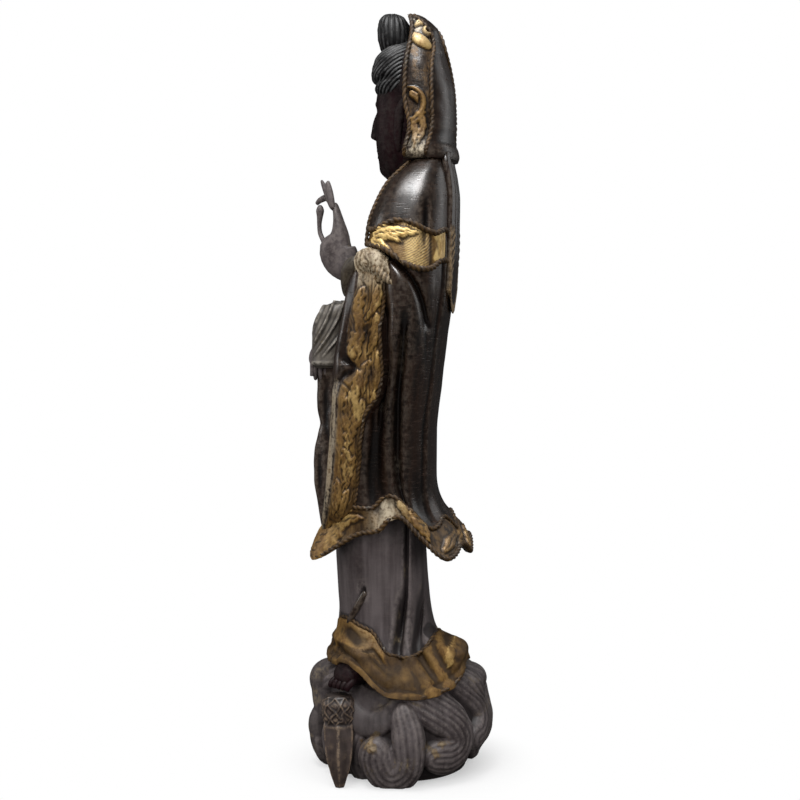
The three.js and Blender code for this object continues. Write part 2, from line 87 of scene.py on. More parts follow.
def ease(start, end, value):
    """0 before the start, 1 past the end, and smooth between them, either way round."""
    t = np.clip((value - start) / (end - start), 0, 1)
    return t * t * (3 - 2 * t)


def under(edge, soft, value):
    """1 where a value is under an edge, and 0 over it."""
    return ease(edge + soft, edge - soft, value)


def hill(value, middle, width):
    """A smooth rise to 1 around a middle."""
    return np.exp(-(((value - middle) / width) ** 2))


def mix(a, b, share):
    """A value between two others."""
    return a + (b - a) * share


def oblong(angle, a, b, power):
    """Reach of a rounded oblong at an angle: a across, b to its front and back."""
    return (np.abs(np.cos(angle) / a) ** power + np.abs(np.sin(angle) / b) ** power) ** (-1 / power)


def noise(points, size, seed):
    """Smooth noise from -1 to 1, with features of one size."""
    place = points / size + seed * 7.31
    cell = np.floor(place).astype(np.int64)
    part = place - cell
    part = part * part * (3 - 2 * part)
    total = np.zeros(points.shape[:-1])
    for corner in range(8):
        step = np.array([corner & 1, corner >> 1 & 1, corner >> 2 & 1])
        x, y, z = np.moveaxis(cell + step, -1, 0)
        code = x * 374761393 + y * 668265263 + z * 1274126177 + seed * 97
        code = (code ^ (code >> 13)) * 1103515245
        share = np.prod(np.where(step, part, 1 - part), axis=-1)
        total += share * ((code >> 8) & 0xFFFF) / 0xFFFF
    return total * 2 - 1


# Surfaces: grids of points, rows from the bottom up and columns round the body


def around(rows, columns, power=1.0):
    """Angles and shares of the height for a grid, with rows closer together at the bottom."""
    share = np.linspace(0, 1, rows) ** power
    angle = np.arange(columns) * TAU / columns
    return np.meshgrid(angle, share)


def lay(x, y, height):
    """Points of the figure from its own coordinates."""
    return np.stack(np.broadcast_arrays(x, y, height + CROWN), axis=-1).astype(float)


def turned(points):
    """Turns a part of the head with it."""
    c, s = math.cos(HEAD_TURN), math.sin(HEAD_TURN)
    x, y = points[..., 0], points[..., 1] - HEAD_AXIS
    return np.stack([x * c - y * s, HEAD_AXIS + x * s + y * c, points[..., 2]], axis=-1)


def facing(points):
    """Outward normals of a grid."""
    sideways = np.roll(points, -1, 1) - np.roll(points, 1, 1)
    normal = np.cross(sideways, np.gradient(points, axis=0))
    return normal / np.maximum(np.linalg.norm(normal, axis=-1, keepdims=True), 1e-9)


def lift(points, height):
    """Raises a grid along its normals."""
    return points + facing(points) * height[..., None]


def climb(points):
    """Distance up each column from its lowest point."""
    step = np.linalg.norm(np.diff(points, axis=0), axis=-1)
    return np.vstack([np.zeros(points.shape[1]), np.cumsum(step, axis=0)])


def closed(points):
    """The same grid with its first column once more at its end."""
    return np.concatenate([points, points[:, :1]], axis=1)


def girth(points):
    """Distance round the lowest row, for every column, and its whole length."""
    ring = points[0]
    step = np.linalg.norm(np.roll(ring, -1, 0) - ring, axis=-1)
    return np.concatenate([[0], np.cumsum(step)[:-1]]), step.sum()


def level(points, height_up):
    """The line that runs at a distance up a grid, given for each column."""
    up = climb(points)
    columns = up.shape[1]
    target = np.broadcast_to(height_up, columns)
    line = [[np.interp(target[j], up[:, j], points[:, j, i]) for i in range(3)] for j in range(columns)]
    return np.array(line)


def nearest(away):
    """Row and column of the smallest distance."""
    return np.unravel_index(np.argmin(away), away.shape)


def find(points, y, z):
    """Row and column of the place on the near side that is seen at y and z."""
    away = (points[..., 1] - y) ** 2 + (points[..., 2] - z) ** 2 - 0.02 * points[..., 0]
    return nearest(away + np.where(points[..., 0] > 0, 0, OUT_OF_REACH))


def traced(points, spots, proud):
    """A line through places of a grid, standing a little out of it."""
    normal = facing(points)
    return np.array([points[spot] + normal[spot] * proud for spot in spots])


def wear_and_shade(points, reach=1.6):
    """How far each point of a grid stands out of its neighbours, as edge and hollow masks; the hollows get
    dust and painted shade.
    """
    soft = (np.roll(points, 2, 1) + np.roll(points, -2, 1)) / 2
    rows = np.arange(len(points))
    upper, lower = np.minimum(rows + 2, len(rows) - 1), np.maximum(rows - 2, 0)
    soft = (soft + (points[upper] + points[lower]) / 2) / 2
    proud = np.sum((points - soft) * facing(points), axis=-1)
    proud = (proud + np.roll(proud, 1, 1) + np.roll(proud, -1, 1)) / 3
    return np.clip(proud * reach * 5, 0, 1), np.clip(-proud * reach * 5, 0, 1)


# Carved relief, seen from the side as y and z


def leaf(y, z, at, heading, length, width, bend=0.0):
    """A veined leaf with lobed edges, from its root, as heights from 0 to 1."""
    c, s = math.cos(math.radians(heading)), math.sin(math.radians(heading))
    along = (y - at[0]) * c + (z - at[1]) * s
    t = np.clip(along / length, 0, 1)
    across = (z - at[1]) * c - (y - at[0]) * s - bend * length * 4 * t * (1 - t)
    across = across + 0.05 * width * np.sin(along * 0.9 + at[0])
    lobes = 0.86 + 0.14 * np.abs(np.sin(t * length * math.pi / 8 + at[1]))
    half = np.maximum(width / 2 * np.sin(np.pi * t**0.7) ** 0.8 * lobes, 1e-3)
    dome = np.sqrt(np.clip(1 - (across / half) ** 2, 0, 1)) * ((t > 0) & (t < 1))
    vein = 0.3 * np.exp(-((across / 0.8) ** 2))
    ribs = 0.12 * (0.5 + 0.5 * np.cos((along - 1.8 * np.abs(across)) * TAU / 3.4))
    return dome**0.8 * (1 - vein - ribs)


def leaves(y, z, rows):
    """Several leaves, as one relief."""
    relief = np.zeros(np.broadcast(y, z).shape)
    for row in rows:
        relief = np.maximum(relief, leaf(y, z, *row))
    return relief


def plain_leaves(wall, up, start, rise, heading, length):
    """Even leaves round a border, with start and length as shares of the space for each."""
    run, whole = girth(wall)
    space = whole / BORDER_LEAVES
    place = np.mod(run[None, :], space) - space / 2
    return leaf(place, up, (-space * start, rise), heading, space * length, 8)


def chased(points, size, seed):
    """Swirling tooled lines of a gilded ground, from 0 to 1."""
    drift = noise(points, size * 3.2, seed) * 5 + noise(points, size, seed + 1) * 1.6
    return 1 - np.abs(np.sin(drift * 2.2 + points[..., 1] * 0.25)) ** 0.5


# Meshes


def join_grid(rows, columns):
    """Faces of a grid that closes round and ends in a single point below and above."""
    low = np.arange((rows - 1) * columns).reshape(rows - 1, columns)
    right = np.roll(low, -1, 1)
    quads = np.stack([low, right, right + columns, low + columns], -1).reshape(-1, 4)
    bottom, top = rows * columns, rows * columns + 1
    first = np.arange(columns)
    last = first + (rows - 1) * columns
    caps = [np.stack([np.full(columns, bottom), np.roll(first, -1), first], -1)]
    caps.append(np.stack([last, np.roll(last, -1), np.full(columns, top)], -1))
    return quads, np.concatenate(caps)


def make_mesh(name, shells, material):
    """One object from closed grids: each shell is (points, masks)."""
    corners, quads, triangles = [], [], []
    values = {mask: [] for mask in MASKS}
    start = 0
    for points, masks in shells:
        rows, columns = points.shape[:2]
        ends = [points[0].mean(0), points[-1].mean(0)]
        corners += [points.reshape(-1, 3), np.array(ends)]
        four, three = join_grid(rows, columns)
        quads.append(four + start)
        triangles.append(three + start)
        for mask in MASKS:
            flat = np.broadcast_to(masks.get(mask, 0.0), (rows, columns)).astype(float)
            values[mask] += [flat.reshape(-1), [flat[0].mean(), flat[-1].mean()]]
        start += rows * columns + 2
    corners = np.concatenate(corners) * MM
    quads, triangles = np.concatenate(quads), np.concatenate(triangles)
    mesh = bpy.data.meshes.new(name)
    mesh.vertices.add(len(corners))
    mesh.vertices.foreach_set("co", corners.astype(np.float32).ravel())
    faces = np.concatenate([quads.ravel(), triangles.ravel()])
    mesh.loops.add(faces.size)
    mesh.loops.foreach_set("vertex_index", faces.astype(np.int32))
    count = len(quads) + len(triangles)
    mesh.polygons.add(count)
    starts = np.concatenate([np.arange(len(quads)) * 4, quads.size + np.arange(len(triangles)) * 3])
    mesh.polygons.foreach_set("loop_start", starts.astype(np.int32))
    mesh.update(calc_edges=True)
    mesh.polygons.foreach_set("use_smooth", np.ones(count, bool))
    for mask in MASKS:
        layer = mesh.attributes.new(mask, "FLOAT", "POINT")
        layer.data.foreach_set("value", np.concatenate(values[mask]).astype(np.float32))
    mesh.materials.append(material)
    piece = bpy.data.objects.new(name, mesh)
    bpy.context.scene.collection.objects.link(piece)
    return piece


def aged(points, edge_share=1.0, least_hollow=0.0):
    """One closed form with the rubbed edges, and the dust and painted shade of its hollows, that its shape
    gives.
    """
    edge, hollow = wear_and_shade(points)
    return points, {"edge": edge_share * edge, "hollow": np.maximum(hollow, least_hollow)}


def with_rows_below(rows, points, masks):
    """Adds rows of points under a hem to its wall, with masks of 0 there."""
    blank = np.zeros(np.shape(rows)[:2])
    spread = {mask: np.concatenate([blank, value]) for mask, value in masks.items()}
    return np.concatenate([rows, points]), spread


def carved(name, points, material, masks=None, reach=1.6):
    """A single closed form with its rubbed edges, and the dust and painted shade of its hollows, worked
    out from its shape.
    """
    masks = dict(masks or {})
    masks["edge"], masks["hollow"] = wear_and_shade(points, reach)
    return make_mesh(name, [(points, masks)], material)


def tube(path, across, around_it, size):
    """A grid round a path. size(angle) gives its reach both ways, and across points along its width."""
    along = np.gradient(path, axis=0)
    along /= np.maximum(np.linalg.norm(along, axis=1, keepdims=True), 1e-9)
    side = np.broadcast_to(np.asarray(across, float), along.shape)
    side = side - np.sum(side * along, axis=1, keepdims=True) * along
    side /= np.maximum(np.linalg.norm(side, axis=1, keepdims=True), 1e-9)
    outward = np.cross(along, side)
    angle, _ = around(len(path), around_it)
    wide, deep = size(angle)
    points = path[:, None] + side[:, None] * (wide * np.cos(angle))[..., None]
    return points + outward[:, None] * (deep * np.sin(angle))[..., None]


def spline(points, count):
    """Evenly shared points on a smooth curve through the given ones."""
    points = np.array(points, float)
    places = np.linspace(0, len(points) - 1, count)
    i = np.clip(places.astype(int), 0, len(points) - 2)
    t = (places - i)[:, None]
    before, after = np.maximum(i - 1, 0), np.minimum(i + 2, len(points) - 1)
    a, b, c, d = points[before], points[i], points[i + 1], points[after]
    curve = 2 * b + (c - a) * t + (2 * a - 5 * b + 4 * c - d) * t**2 + (3 * b - a - 3 * c + d) * t**3
    return 0.5 * curve


def limb(points, across, rows, columns):
    """A finger, arm or fold: a round-ended tube through [x, y, height, half width, half depth]."""
    t = (1 - np.cos(np.linspace(0, np.pi, rows))) / 2
    even = np.linspace(0, 1, 400)
    fine = spline(points, len(even))
    x, y, height, width, depth = (np.interp(t, even, fine[:, i]) for i in range(5))
    end = np.maximum(1 - (2 * t - 1) ** 2, 0) ** 0.3
    sizes = (width * end)[:, None], (depth * end)[:, None]
    return tube(lay(x, y, height), across, columns, lambda angle: sizes)


def even_path(path, step):
    """The same path, with points at even distances."""
    path = np.array(path, float)
    run = np.concatenate([[0], np.cumsum(np.linalg.norm(np.diff(path, axis=0), axis=1))])
    places = np.linspace(0, run[-1], max(8, int(run[-1] / step)))
    return np.stack([np.interp(places, run, path[:, i]) for i in range(3)], -1), places


def smooth(path, times):
    """Evens out the points between the two ends of a path."""
    path = np.array(path, float)
    for _ in range(times):
        path[1:-1] = (path[:-2] + 2 * path[1:-1] + path[2:]) / 4
    return path


def rope(path, radius, twist=8.6):
    """A carved twisted border, two strands thick."""
    path, run = even_path(smooth(path, 3), 0.8)
    phase = run * TAU / twist
    ends = np.minimum(np.minimum(run, run[-1] - run) / (2 * radius), 1)[:, None] ** 0.5
    lies_flat = abs(path[-1, 2] - path[0, 2]) < np.ptp(path[:, :2])
    across = [0, 0, 1] if lies_flat else [0.3, 1, 0]

    def size(angle):
        strand = 0.52 + 0.48 * np.abs(np.cos(angle - phase[:, None])) ** 0.7
        reach = radius * strand * ends
        return reach, reach

    points = tube(path, across, ROPE_SIDES, size)
    strand = np.abs(np.cos(np.arange(ROPE_SIDES) * TAU / ROPE_SIDES - phase[:, None]))
    # The grooves between the strands take painted shade through the hollow mask; their crests take the
    # rubbed colour.
    masks = {"edge": strand**2, "hollow": 1 - strand, "gilt": np.full(points.shape[:2], 0.3)}
    return points, masks


# The outer robe

robe_half_width = profile([[104, 58], [140, 58], [190, 62], [240, 67], [290, 71], [322, 68], [356, 56]])
robe_front = profile([[104, -53], [162, -48], [212, -44], [262, -38], [297, -34], [330, -24]])
robe_back = profile([
    [100, 36], [122, 28], [147, 26], [180, 26], [221, 30], [262, 34.8], [295, 39], [340, 40]])
hem_height = round_profile([
    [-150, 100], [-124, 82], [-104, 108], [-90, 122], [-78, 113], [-50, 85], [-37, 96], [-24, 105],
    [-9, 108], [-2, 117], [5, 119], [21, 103], [39, 86], [62, 94], [90, 84], [118, 94], [141, 86],
    [160, 106], [176, 120]])
hem_reach = round_profile([
    [-150, 67], [-124, 83], [-104, 62], [-90, 52], [-78, 56], [-50, 81], [-37, 69], [-24, 62], [5, 60],
    [21, 62], [39, 69], [62, 59], [90, 57], [118, 60], [141, 68], [160, 62], [176, 60]])

# Folds of the robe as [height, y] down the fold, depth, half width, lowest, highest
NEAR_FOLDS = [
    ([[100, -17], [171, -13.5], [210, -10], [250, -4]], -7.5, 6.4, 92, 262),
    ([[180, -9], [248, -5], [290, -1]], -3.5, 2.6, 176, 296),
    ([[112, -3], [171, -2.8], [230, 1], [280, 4]], 2.2, 3.2, 100, 290),
    ([[100, 3.4], [171, 4], [209, 4.8], [248, 9], [290, 12]], -6.5, 2.9, 92, 286),
    ([[100, 12], [171, 11], [209, 12.5], [250, 16]], 2.4, 3.6, 96, 268),
    ([[100, 24], [171, 20], [240, 25]], 1.4, 6.5, 100, 250),
    ([[108, 41], [118, 38], [132, 33.6], [163, 29], [209, 29], [250, 31], [300, 34]], -2.4, 1.4, 96, 320),
]
FAR_FOLDS = [
    ([[130, -30], [290, -12]], -6, 4.4, 100, 300),
    ([[130, -12], [290, -2]], 3, 4, 104, 300),
    ([[130, -3], [290, 3]], -3.5, 2.6, 106, 296),
    ([[130, 5], [290, 9]], -5.5, 3.6, 100, 290),
    ([[130, 22], [290, 20]], -4.5, 3, 100, 300),
]
elbow_crease = profile([
    [225, 24.5], [257, 25], [271, 24], [286.6, 21.5], [302, 15.3], [316, 2], [322, -6]])


def folds(y, height, rows):
    """How far the folds of one side stand out, each fading away at its two ends."""
    relief = 0
    for line, depth, width, low, high in rows:
        fade = ease(low, low + 24, height) * (1 - ease(high - 30, high, height))
        relief = relief + depth * fade * np.exp(-np.abs((y - profile(line)(height)) / width) ** 2.6)
    return relief


def forearm(y, height):
    """The swelling of the sleeve over the bent elbow, and the crease behind it."""
    ahead = elbow_crease(height) - y
    swell = np.sqrt(np.clip(1 - (1 - np.clip(ahead / 9, 0, 1)) ** 2, 0, 1)) * ease(-6, 8, y)
    swell = 6 * swell * ease(220, 256, height) - 5.5 * ease(1, -7, y) * ease(205, 225, height)
    return swell - 7 * hill(ahead, -2.2, 2.2) * ease(262, 272, height) * ease(330, 316, height)


def robe_wall(angle, share):
    """The robe from its wavy hem to the shoulders, with its folds."""
    height = mix(hem_height(angle), 340, share**1.15)
    front, back = robe_front(height), robe_back(height)
    reach = oblong(angle, robe_half_width(height), (back - front) / 2, 2.5)
    x, y = reach * np.cos(angle), (front + back) / 2 + reach * np.sin(angle)
    side = np.abs(np.cos(angle)) ** 0.5
    near_relief = folds(y, height, NEAR_FOLDS) + forearm(y, height)
    relief = np.where(x > 0, near_relief, folds(y, height, FAR_FOLDS)) * side
    x, y = x + relief * np.cos(angle), y + relief * np.sin(angle) * 0.3
    y = y + 9 * hill(x, 0, 20) * ease(0.1, -0.5, np.sin(angle))
    y = y + 2.4 * ease(39, 34, np.abs(x)) * ease(0.2, 0.5, np.sin(angle))
    shawl_edge = shawl_hem(angle)
    y = y + 15 * ease(shawl_edge - 5, shawl_edge + 4, height) * ease(0, -0.5, np.sin(angle))
    flare = (1 - ease(0, 0.36, share)) ** mix(2.4, 3.6, ease(0.2, 0.7, np.sin(angle)))
    x = mix(x, hem_reach(angle) * np.cos(angle), flare)
    y = mix(y, hem_reach(angle) * np.sin(angle), flare)
    return lay(x, y, height)


# Leaves of the near side, as root (y, z), heading, length, width and bend
HEM_LEAVES = [
    ((-67, 169), 55, 62, 27, 0.05),
    ((-43, 200), 20, 22, 9, 0.1),
    ((4, 222), -52, 42, 11, 0.05),
    ((41, 181), 66, 17, 9, 0.0),
    ((56, 180), 118, 14, 7, 0.0),
]

# Width of the gilded band above the robe's hem
hem_band = round_profile([
    [-150, 24], [-110, 28], [-90, 20], [-70, 22], [-45, 30], [-20, 22], [5, 19], [14, 20], [27, 28],
    [40, 29], [62, 28], [90, 24], [120, 27], [150, 22]])


def robe(finish):
    angle, share = around(190, 400, 1.25)
    wall = robe_wall(angle, share)
    up = climb(wall)
    band = hem_band(angle)
    on_band = under(band, 0.8, up)
    y, z = wall[..., 1], wall[..., 2]
    near = ease(20, 34, wall[..., 0])
    relief = leaves(y, z, HEM_LEAVES) * near
    plain = plain_leaves(wall, up, 0.33, 6, 24, 0.62) * (1 - near)
    relief = np.maximum(relief, plain) * on_band
    rough = noise(wall, 9, 1) * 0.14
    height = 1.9 * relief - 0.8 * on_band * (1 - relief) + rough
    height = height + 0.35 * noise(wall * [1, 1, 0.2], 2.2, 3) * on_band * (1 - relief)
    points = lift(wall, height)
    pale = near * on_band * (hill(y, -4, 10) * ease(228, 216, z) + hill(y, -27, 8) * ease(196, 188, z))
    pale = np.clip(0.8 * pale + 0.08 * near * on_band * hill(y, 54, 16), 0, 0.9)
    gilt = on_band * (0.42 + 0.38 * ease(0.05, 0.3, relief) + 0.12 * noise(wall, 16, 20))
    gilt = gilt * (1 - 0.5 * near * hill(y, 50, 14))
    edge, hollow = wear_and_shade(points)
    # Painted highlight: a thin cream line along the ridge of the rear seam, put in through the rubbed-edge
    # mask.
    seam = profile([[190, 44], [196, 41], [206, 38], [220, 33.6], [251, 29.4], [297, 29.4]])(z)
    seam_highlight = 2.2 * near * (1 - on_band) * hill(y, seam + 0.6, 0.7) * ease(310, 240, z)
    masks = {"gilt": gilt, "pale": pale, "edge": np.maximum(0.55 * edge, seam_highlight), "hollow": hollow}
    return make_mesh("robe", [robe_shell(points, masks)], finish)


def robe_shell(points, masks):
    """Adds the undercut below the hem to the robe's wall."""
    angle = np.arange(points.shape[1]) * TAU / points.shape[1]
    rows = []
    for rise, inset in ((24, 30), (18, 24), (12, 16), (6, 9), (1.2, 4.5)):
        reach = hem_reach(angle) - inset
        rows.append(lay(reach * np.cos(angle), reach * np.sin(angle), hem_height(angle) + rise))
    whole, spread = with_rows_below(rows, points, masks)
    # Painted shade in the undercut under the hem.
    spread["hollow"][: len(rows)] = 0.7
    spread["gilt"][len(rows) - 1] = 0.4
    return whole, spread


def robe_ropes(finish):
    angle, share = around(120, 300, 1.25)
    wall = closed(robe_wall(angle, share))
    low = level(wall, 2.0)
    high = level(wall, hem_band(np.append(angle[0], TAU)))
    return make_mesh("robe_ropes", [rope(low, 2.1), rope(high, 1.9)], finish)


# Hanging sleeves, as height, distance from the middle, front, rear and half thickness
NEAR_SLEEVE = [
    [92, 34, -62, -44, 4], [104, 38, -58, -40, 5], [116, 45, -57, -34, 8], [130, 49.5, -54.5, -29, 11],
    [160, 51, -51.5, -25, 12], [176, 52, -50, -21.5, 13], [200, 52, -48.5, -14, 14],
    [216, 53, -47.5, -5, 14.5], [246, 53, -45, 2, 15], [272, 54, -39.6, 5, 15], [294, 55, -35.6, 8, 14],
    [308, 56, -31, 5, 12], [318, 55, -26, -2, 7]]
FAR_SLEEVE = [
    [88, 47, -72, -46, 5], [100, 49, -74.5, -38, 7], [115, 50, -77.6, -30, 9], [132, 51, -79.8, -24, 11],
    [158, 52, -80.2, -18, 12.5], [173, 52, -77.8, -14, 13], [184, 52, -74.8, -11, 13.5],
    [200, 53, -77.4, -8, 14], [222, 53, -77.6, -5, 14], [245, 53, -73, 0, 14], [288, 53, -58, 8, 12]]
SLEEVE_LEAVES = [
    ((-8, 388), -112, 30, 8, 0.1),
    ((-20, 386), -96, 36, 9, -0.08),
    ((-27, 372), -88, 30, 8, 0.1),
    ((-10, 366), -104, 34, 9, 0.08),
    ((-20, 352), -112, 34, 11, -0.1),
    ((-30, 352), -74, 22, 7, 0.1),
    ((-9, 338), -96, 34, 7, 0.05),
    ((-16, 330), -100, 28, 8, -0.08),
    ((-24, 322), -104, 30, 9, 0.05),
    ((-12, 306), -100, 26, 6, 0.0),
    ((-30, 306), -96, 46, 15, 0.05),
    ((-22, 300), -104, 24, 7, 0.1),
    ((-36, 262), -92, 28, 9, 0.08),
    ((-28, 256), -104, 28, 7, -0.06),
    ((-42, 238), -98, 30, 8, 0.06),
    ((-34, 230), -106, 26, 6, 0.0),
]
near_border = profile([
    [182, -36], [208, -31], [235, -27.6], [258, -25.4], [280, -22.6], [292, -19.5], [303, -9.5], [328, -7],
    [343, -8.5], [359, -7.7], [375, -4.6], [392, -3.8]])
gold_front = profile([
    [178, -60], [208, -51.5], [230, -47.5], [249, -45], [265, -43.6], [296, -42], [312, -38], [319, -31],
    [324, -27], [330, -32], [336, -34.8], [359, -33.3], [375, -29.3], [392, -25.4]])


def sleeve_wall(angle, share, side, rows, phase):
    """A flat sleeve hanging on one side, with a little wave in its outer face."""
    columns = np.array(rows, float)
    x, front, rear, thick = (profile(columns[:, [0, i]]) for i in (1, 2, 3, 4))
    height = mix(rows[0][0], rows[-1][0], share)
    length = (rear(height) - front(height)) / 2
    reach = oblong(angle, thick(height), length, 2.3)
    y = (rear(height) + front(height)) / 2 + reach * np.sin(angle)
    wave = 1.6 * np.sin(y * 0.42 + phase) * ease(rows[0][0], rows[0][0] + 40, height)
    out = np.maximum(0, side * np.cos(angle))
    return lay(side * x(height) + reach * np.cos(angle) + side * wave * out, y, height)


def near_sleeve(finish):
    angle, share = around(240, 210)
    wall = sleeve_wall(angle, share, 1, NEAR_SLEEVE, 0)
    y, z = wall[..., 1], wall[..., 2]
    outer = ease(0.15, 0.5, facing(wall)[..., 0])
    start, end = gold_front(z), near_border(z)
    on_band = outer * ease(start - 1, start + 2, y) * under(end, 1, y)
    relief = leaves(y, z, SLEEVE_LEAVES) * on_band
    ground = chased(wall * [1, 1, 0.45], 5, 5)
    notch = 3.5 * hill(y, start - 3, 5) * hill(z, 324, 13) * outer
    strokes = noise(wall * [1, 1, 0.22], 1.7, 21) * on_band
    height = 1.25 * relief - 0.8 * on_band * (1 - relief) + 0.8 * ground * on_band * (1 - relief) - notch
    points = lift(wall, height + noise(wall, 8, 6) * 0.15 + 0.45 * strokes)
    bright = hill(y, -29, 8) * ease(258, 266, z) * ease(312, 300, z)
    gilt = 0.5 + 0.34 * noise(wall * [1, 1, 0.6], 9, 28) + 0.18 * ground
    gilt = on_band * np.clip(gilt + 0.16 * ease(0.05, 0.4, relief) + 0.08 * bright, 0, 0.84)
    # Painted sheen along the sleeve's front edge, given as pale and gilt masks.
    front_sheen = outer * under(start, 2.5, y) * ease(335, 300, z)
    front_sheen = front_sheen * (0.75 + 0.45 * noise(wall * [1, 1, 0.3], 5, 23))
    pale = np.maximum(0.5 * hill(z, 392, 7) * outer, 0.5 * front_sheen)
    masks = {"gilt": np.maximum(gilt, 0.36 * front_sheen), "pale": pale}
    return carved("near_sleeve", points, finish, masks, 1.0)


def far_sleeve(finish):
    angle, share = around(110, 110)
    wall = sleeve_wall(angle, share, -1, FAR_SLEEVE, 2)
    fall = wall[..., 2] * 0.9 + wall[..., 1] * 0.3
    pleat = 1.2 * np.sin(fall * 0.06) * np.cos(wall[..., 1] * 0.5)
    return carved("far_sleeve", lift(wall, pleat + noise(wall, 8, 7) * 0.4), finish)


def sleeve_ropes(finish):
    angle, share = around(120, 120)
    wall = sleeve_wall(angle, share, 1, NEAR_SLEEVE, 0)
    spots = [find(wall, near_border(z) + 1.1 * np.sin(z * 0.28), z) for z in np.linspace(214, 384, 60)]
    return make_mesh("sleeve_ropes", [rope(smooth(traced(wall, spots, 0.5), 4), 1.8)], finish)


# Shawl

shawl_hem = round_profile([
    [-150, 306], [-120, 318], [-90, 334], [-60, 331], [-38, 330], [-20, 327.5], [-13, 326], [-5, 320.5],
    [5, 312.5], [15, 309.3], [23, 310.4], [30, 315.7], [38, 317], [52, 313], [66, 300], [90, 283],
    [114, 300], [128, 312], [150, 309], [172, 312]])
shawl_half_width = profile([[290, 72], [316, 73], [340, 70], [366, 62], [384, 50], [396, 36], [402, 22]])
shawl_front = profile([[290, -31], [324, -25], [348, -22], [364, -16], [380, -7.5], [391, 4], [402, 13]])
shawl_back = profile([[270, 39], [300, 41], [340, 42.5], [368, 43], [386, 41], [402, 37]])
shawl_band = round_profile([
    [-150, 24], [-120, 18], [-90, 16], [-60, 16], [-24, 13], [-13, 19], [-5, 28], [5, 34], [15, 32],
    [23, 28], [30, 25], [60, 25], [90, 22], [120, 25], [150, 28], [180, 28]])
neckline = profile([[316, 50], [338, 45], [367, 38], [391, 27], [400, 20]])
SHAWL_LEAVES = [
    ((-14, 425), 2, 36, 11, 0.03),
    ((-14, 430), 24, 17, 8, 0.0),
    ((-15, 422), -30, 17, 9, 0.0),
    ((-4, 428), -34, 15, 8, 0.0),
]


def shawl_wall(angle, share):
    """The shawl from its hem to the neck, drawn in over the breast."""
    height = mix(shawl_hem(angle), 402, share**0.9)
    front, back = shawl_front(height), shawl_back(height)
    power = np.where(np.sin(angle) < 0, 3.0, 2.3)
    reach = oblong(angle, shawl_half_width(height), (back - front) / 2, power)
    x, y = reach * np.cos(angle), (front + back) / 2 + reach * np.sin(angle)
    chest = 9 * ease(neckline(height), neckline(height) - 4, np.abs(x)) * ease(0, -0.3, np.sin(angle))
    dip = 3.2 * hill(y, 26, 2.6) * hill(height, 344, 15) * (x > 0)
    return lay(x - dip, y + chest, height)


def shawl(finish):
    angle, share = around(130, 380)
    wall = shawl_wall(angle, share)
    up = climb(wall)
    band = shawl_band(angle)
    on_band = under(band, 0.8, up)
    y, z = wall[..., 1], wall[..., 2]
    near = ease(30, 44, wall[..., 0])
    relief = leaves(y, z, SHAWL_LEAVES) * near
    tassel = 0.7 + 0.3 * np.abs(np.cos((y - 39) * 1.0 + 0.06 * (z - 424)))
    tassel = tassel * hill(y, 39.5 + 1.5 * np.sin((z - 410) * 0.22), 6) * ease(402, 408, z) * near
    plain = plain_leaves(wall, up, 0.35, 9, 12, 0.66) * (1 - near)
    relief = np.maximum.reduce([relief, plain, 0.8 * tassel]) * on_band
    between = 1 - ease(0, 0.2, relief)
    sweep = np.hypot(y + 2, (z - 432) * 1.3) * 1.5 + noise(wall, 5, 25)
    combed = np.abs(np.sin(sweep)) * near * on_band * between
    height = 2.1 * relief - 1.2 * on_band * (1 - relief) + 0.28 * combed + noise(wall, 12, 8) * 0.15
    height = height - 1.2 * hill(y, 31, 1.6) * on_band * near
    points = lift(wall, height)
    ground = near * on_band * hill(y, 20, 14) * between
    gilt = on_band * np.clip(0.56 + 0.2 * combed + 0.42 * ease(0.05, 0.3, relief) + 0.2 * ground, 0, 0.95)
    gilt = np.maximum(gilt, 0.97 * on_band * ease(0.15, 0.4, tassel))
    masks = {"gilt": gilt, "pale": 0.18 * ground + 0.22 * on_band * ease(0.4, 0.8, tassel)}
    masks["edge"], masks["hollow"] = wear_and_shade(points)
    rows = [points[0] * [0.8, 0.8, 1] + [0, 0, 9], points[0] * [0.93, 0.93, 1] + [0, 0, 3]]
    return make_mesh("shawl", [with_rows_below(rows, points, masks)], finish)


def shawl_ropes(finish):
    angle, share = around(90, 280)
    wall = shawl_wall(angle, share)
    ropes = []
    for rise, radius in ((1.6, 2.5), (shawl_band(np.append(angle[0], TAU)), 2.4)):
        path = level(closed(wall), rise)
        under_veil = ease(32, 27, np.abs(path[:, 0])) * (path[:, 1] > 20)
        ropes.append(rope(path - np.outer(under_veil, [0, 3.4, 0]), radius))
    for side in (1, -1):
        collar = []
        for height in np.linspace(322, 397, 50):
            aside = np.abs(wall[..., 0] * side - neckline(height) - 1)
            off = np.abs(wall[..., 2] - CROWN - height) + 0.6 * aside
            collar.append(nearest(off + np.where(np.sin(angle) < 0, 0, OUT_OF_REACH)))
        ropes.append(rope(smooth(traced(wall, collar, 0.8), 8), 1.7))
    return make_mesh("shawl_ropes", ropes, finish)


# Head

face_half_width = profile([
    [380, 7], [384, 15], [394, 23], [410, 28], [430, 30], [450, 30], [470, 28], [482, 24], [489, 14]])
face_front = profile([
    [380, -13], [384, -20], [392, -25.5], [402, -27.5], [416, -29], [436, -29], [446, -28.5], [456, -26.5],
    [464, -22], [474, -17], [484, -12], [489, -6]])
head_back = profile([[380, 14], [400, 30], [440, 36], [480, 28], [489, 14]])


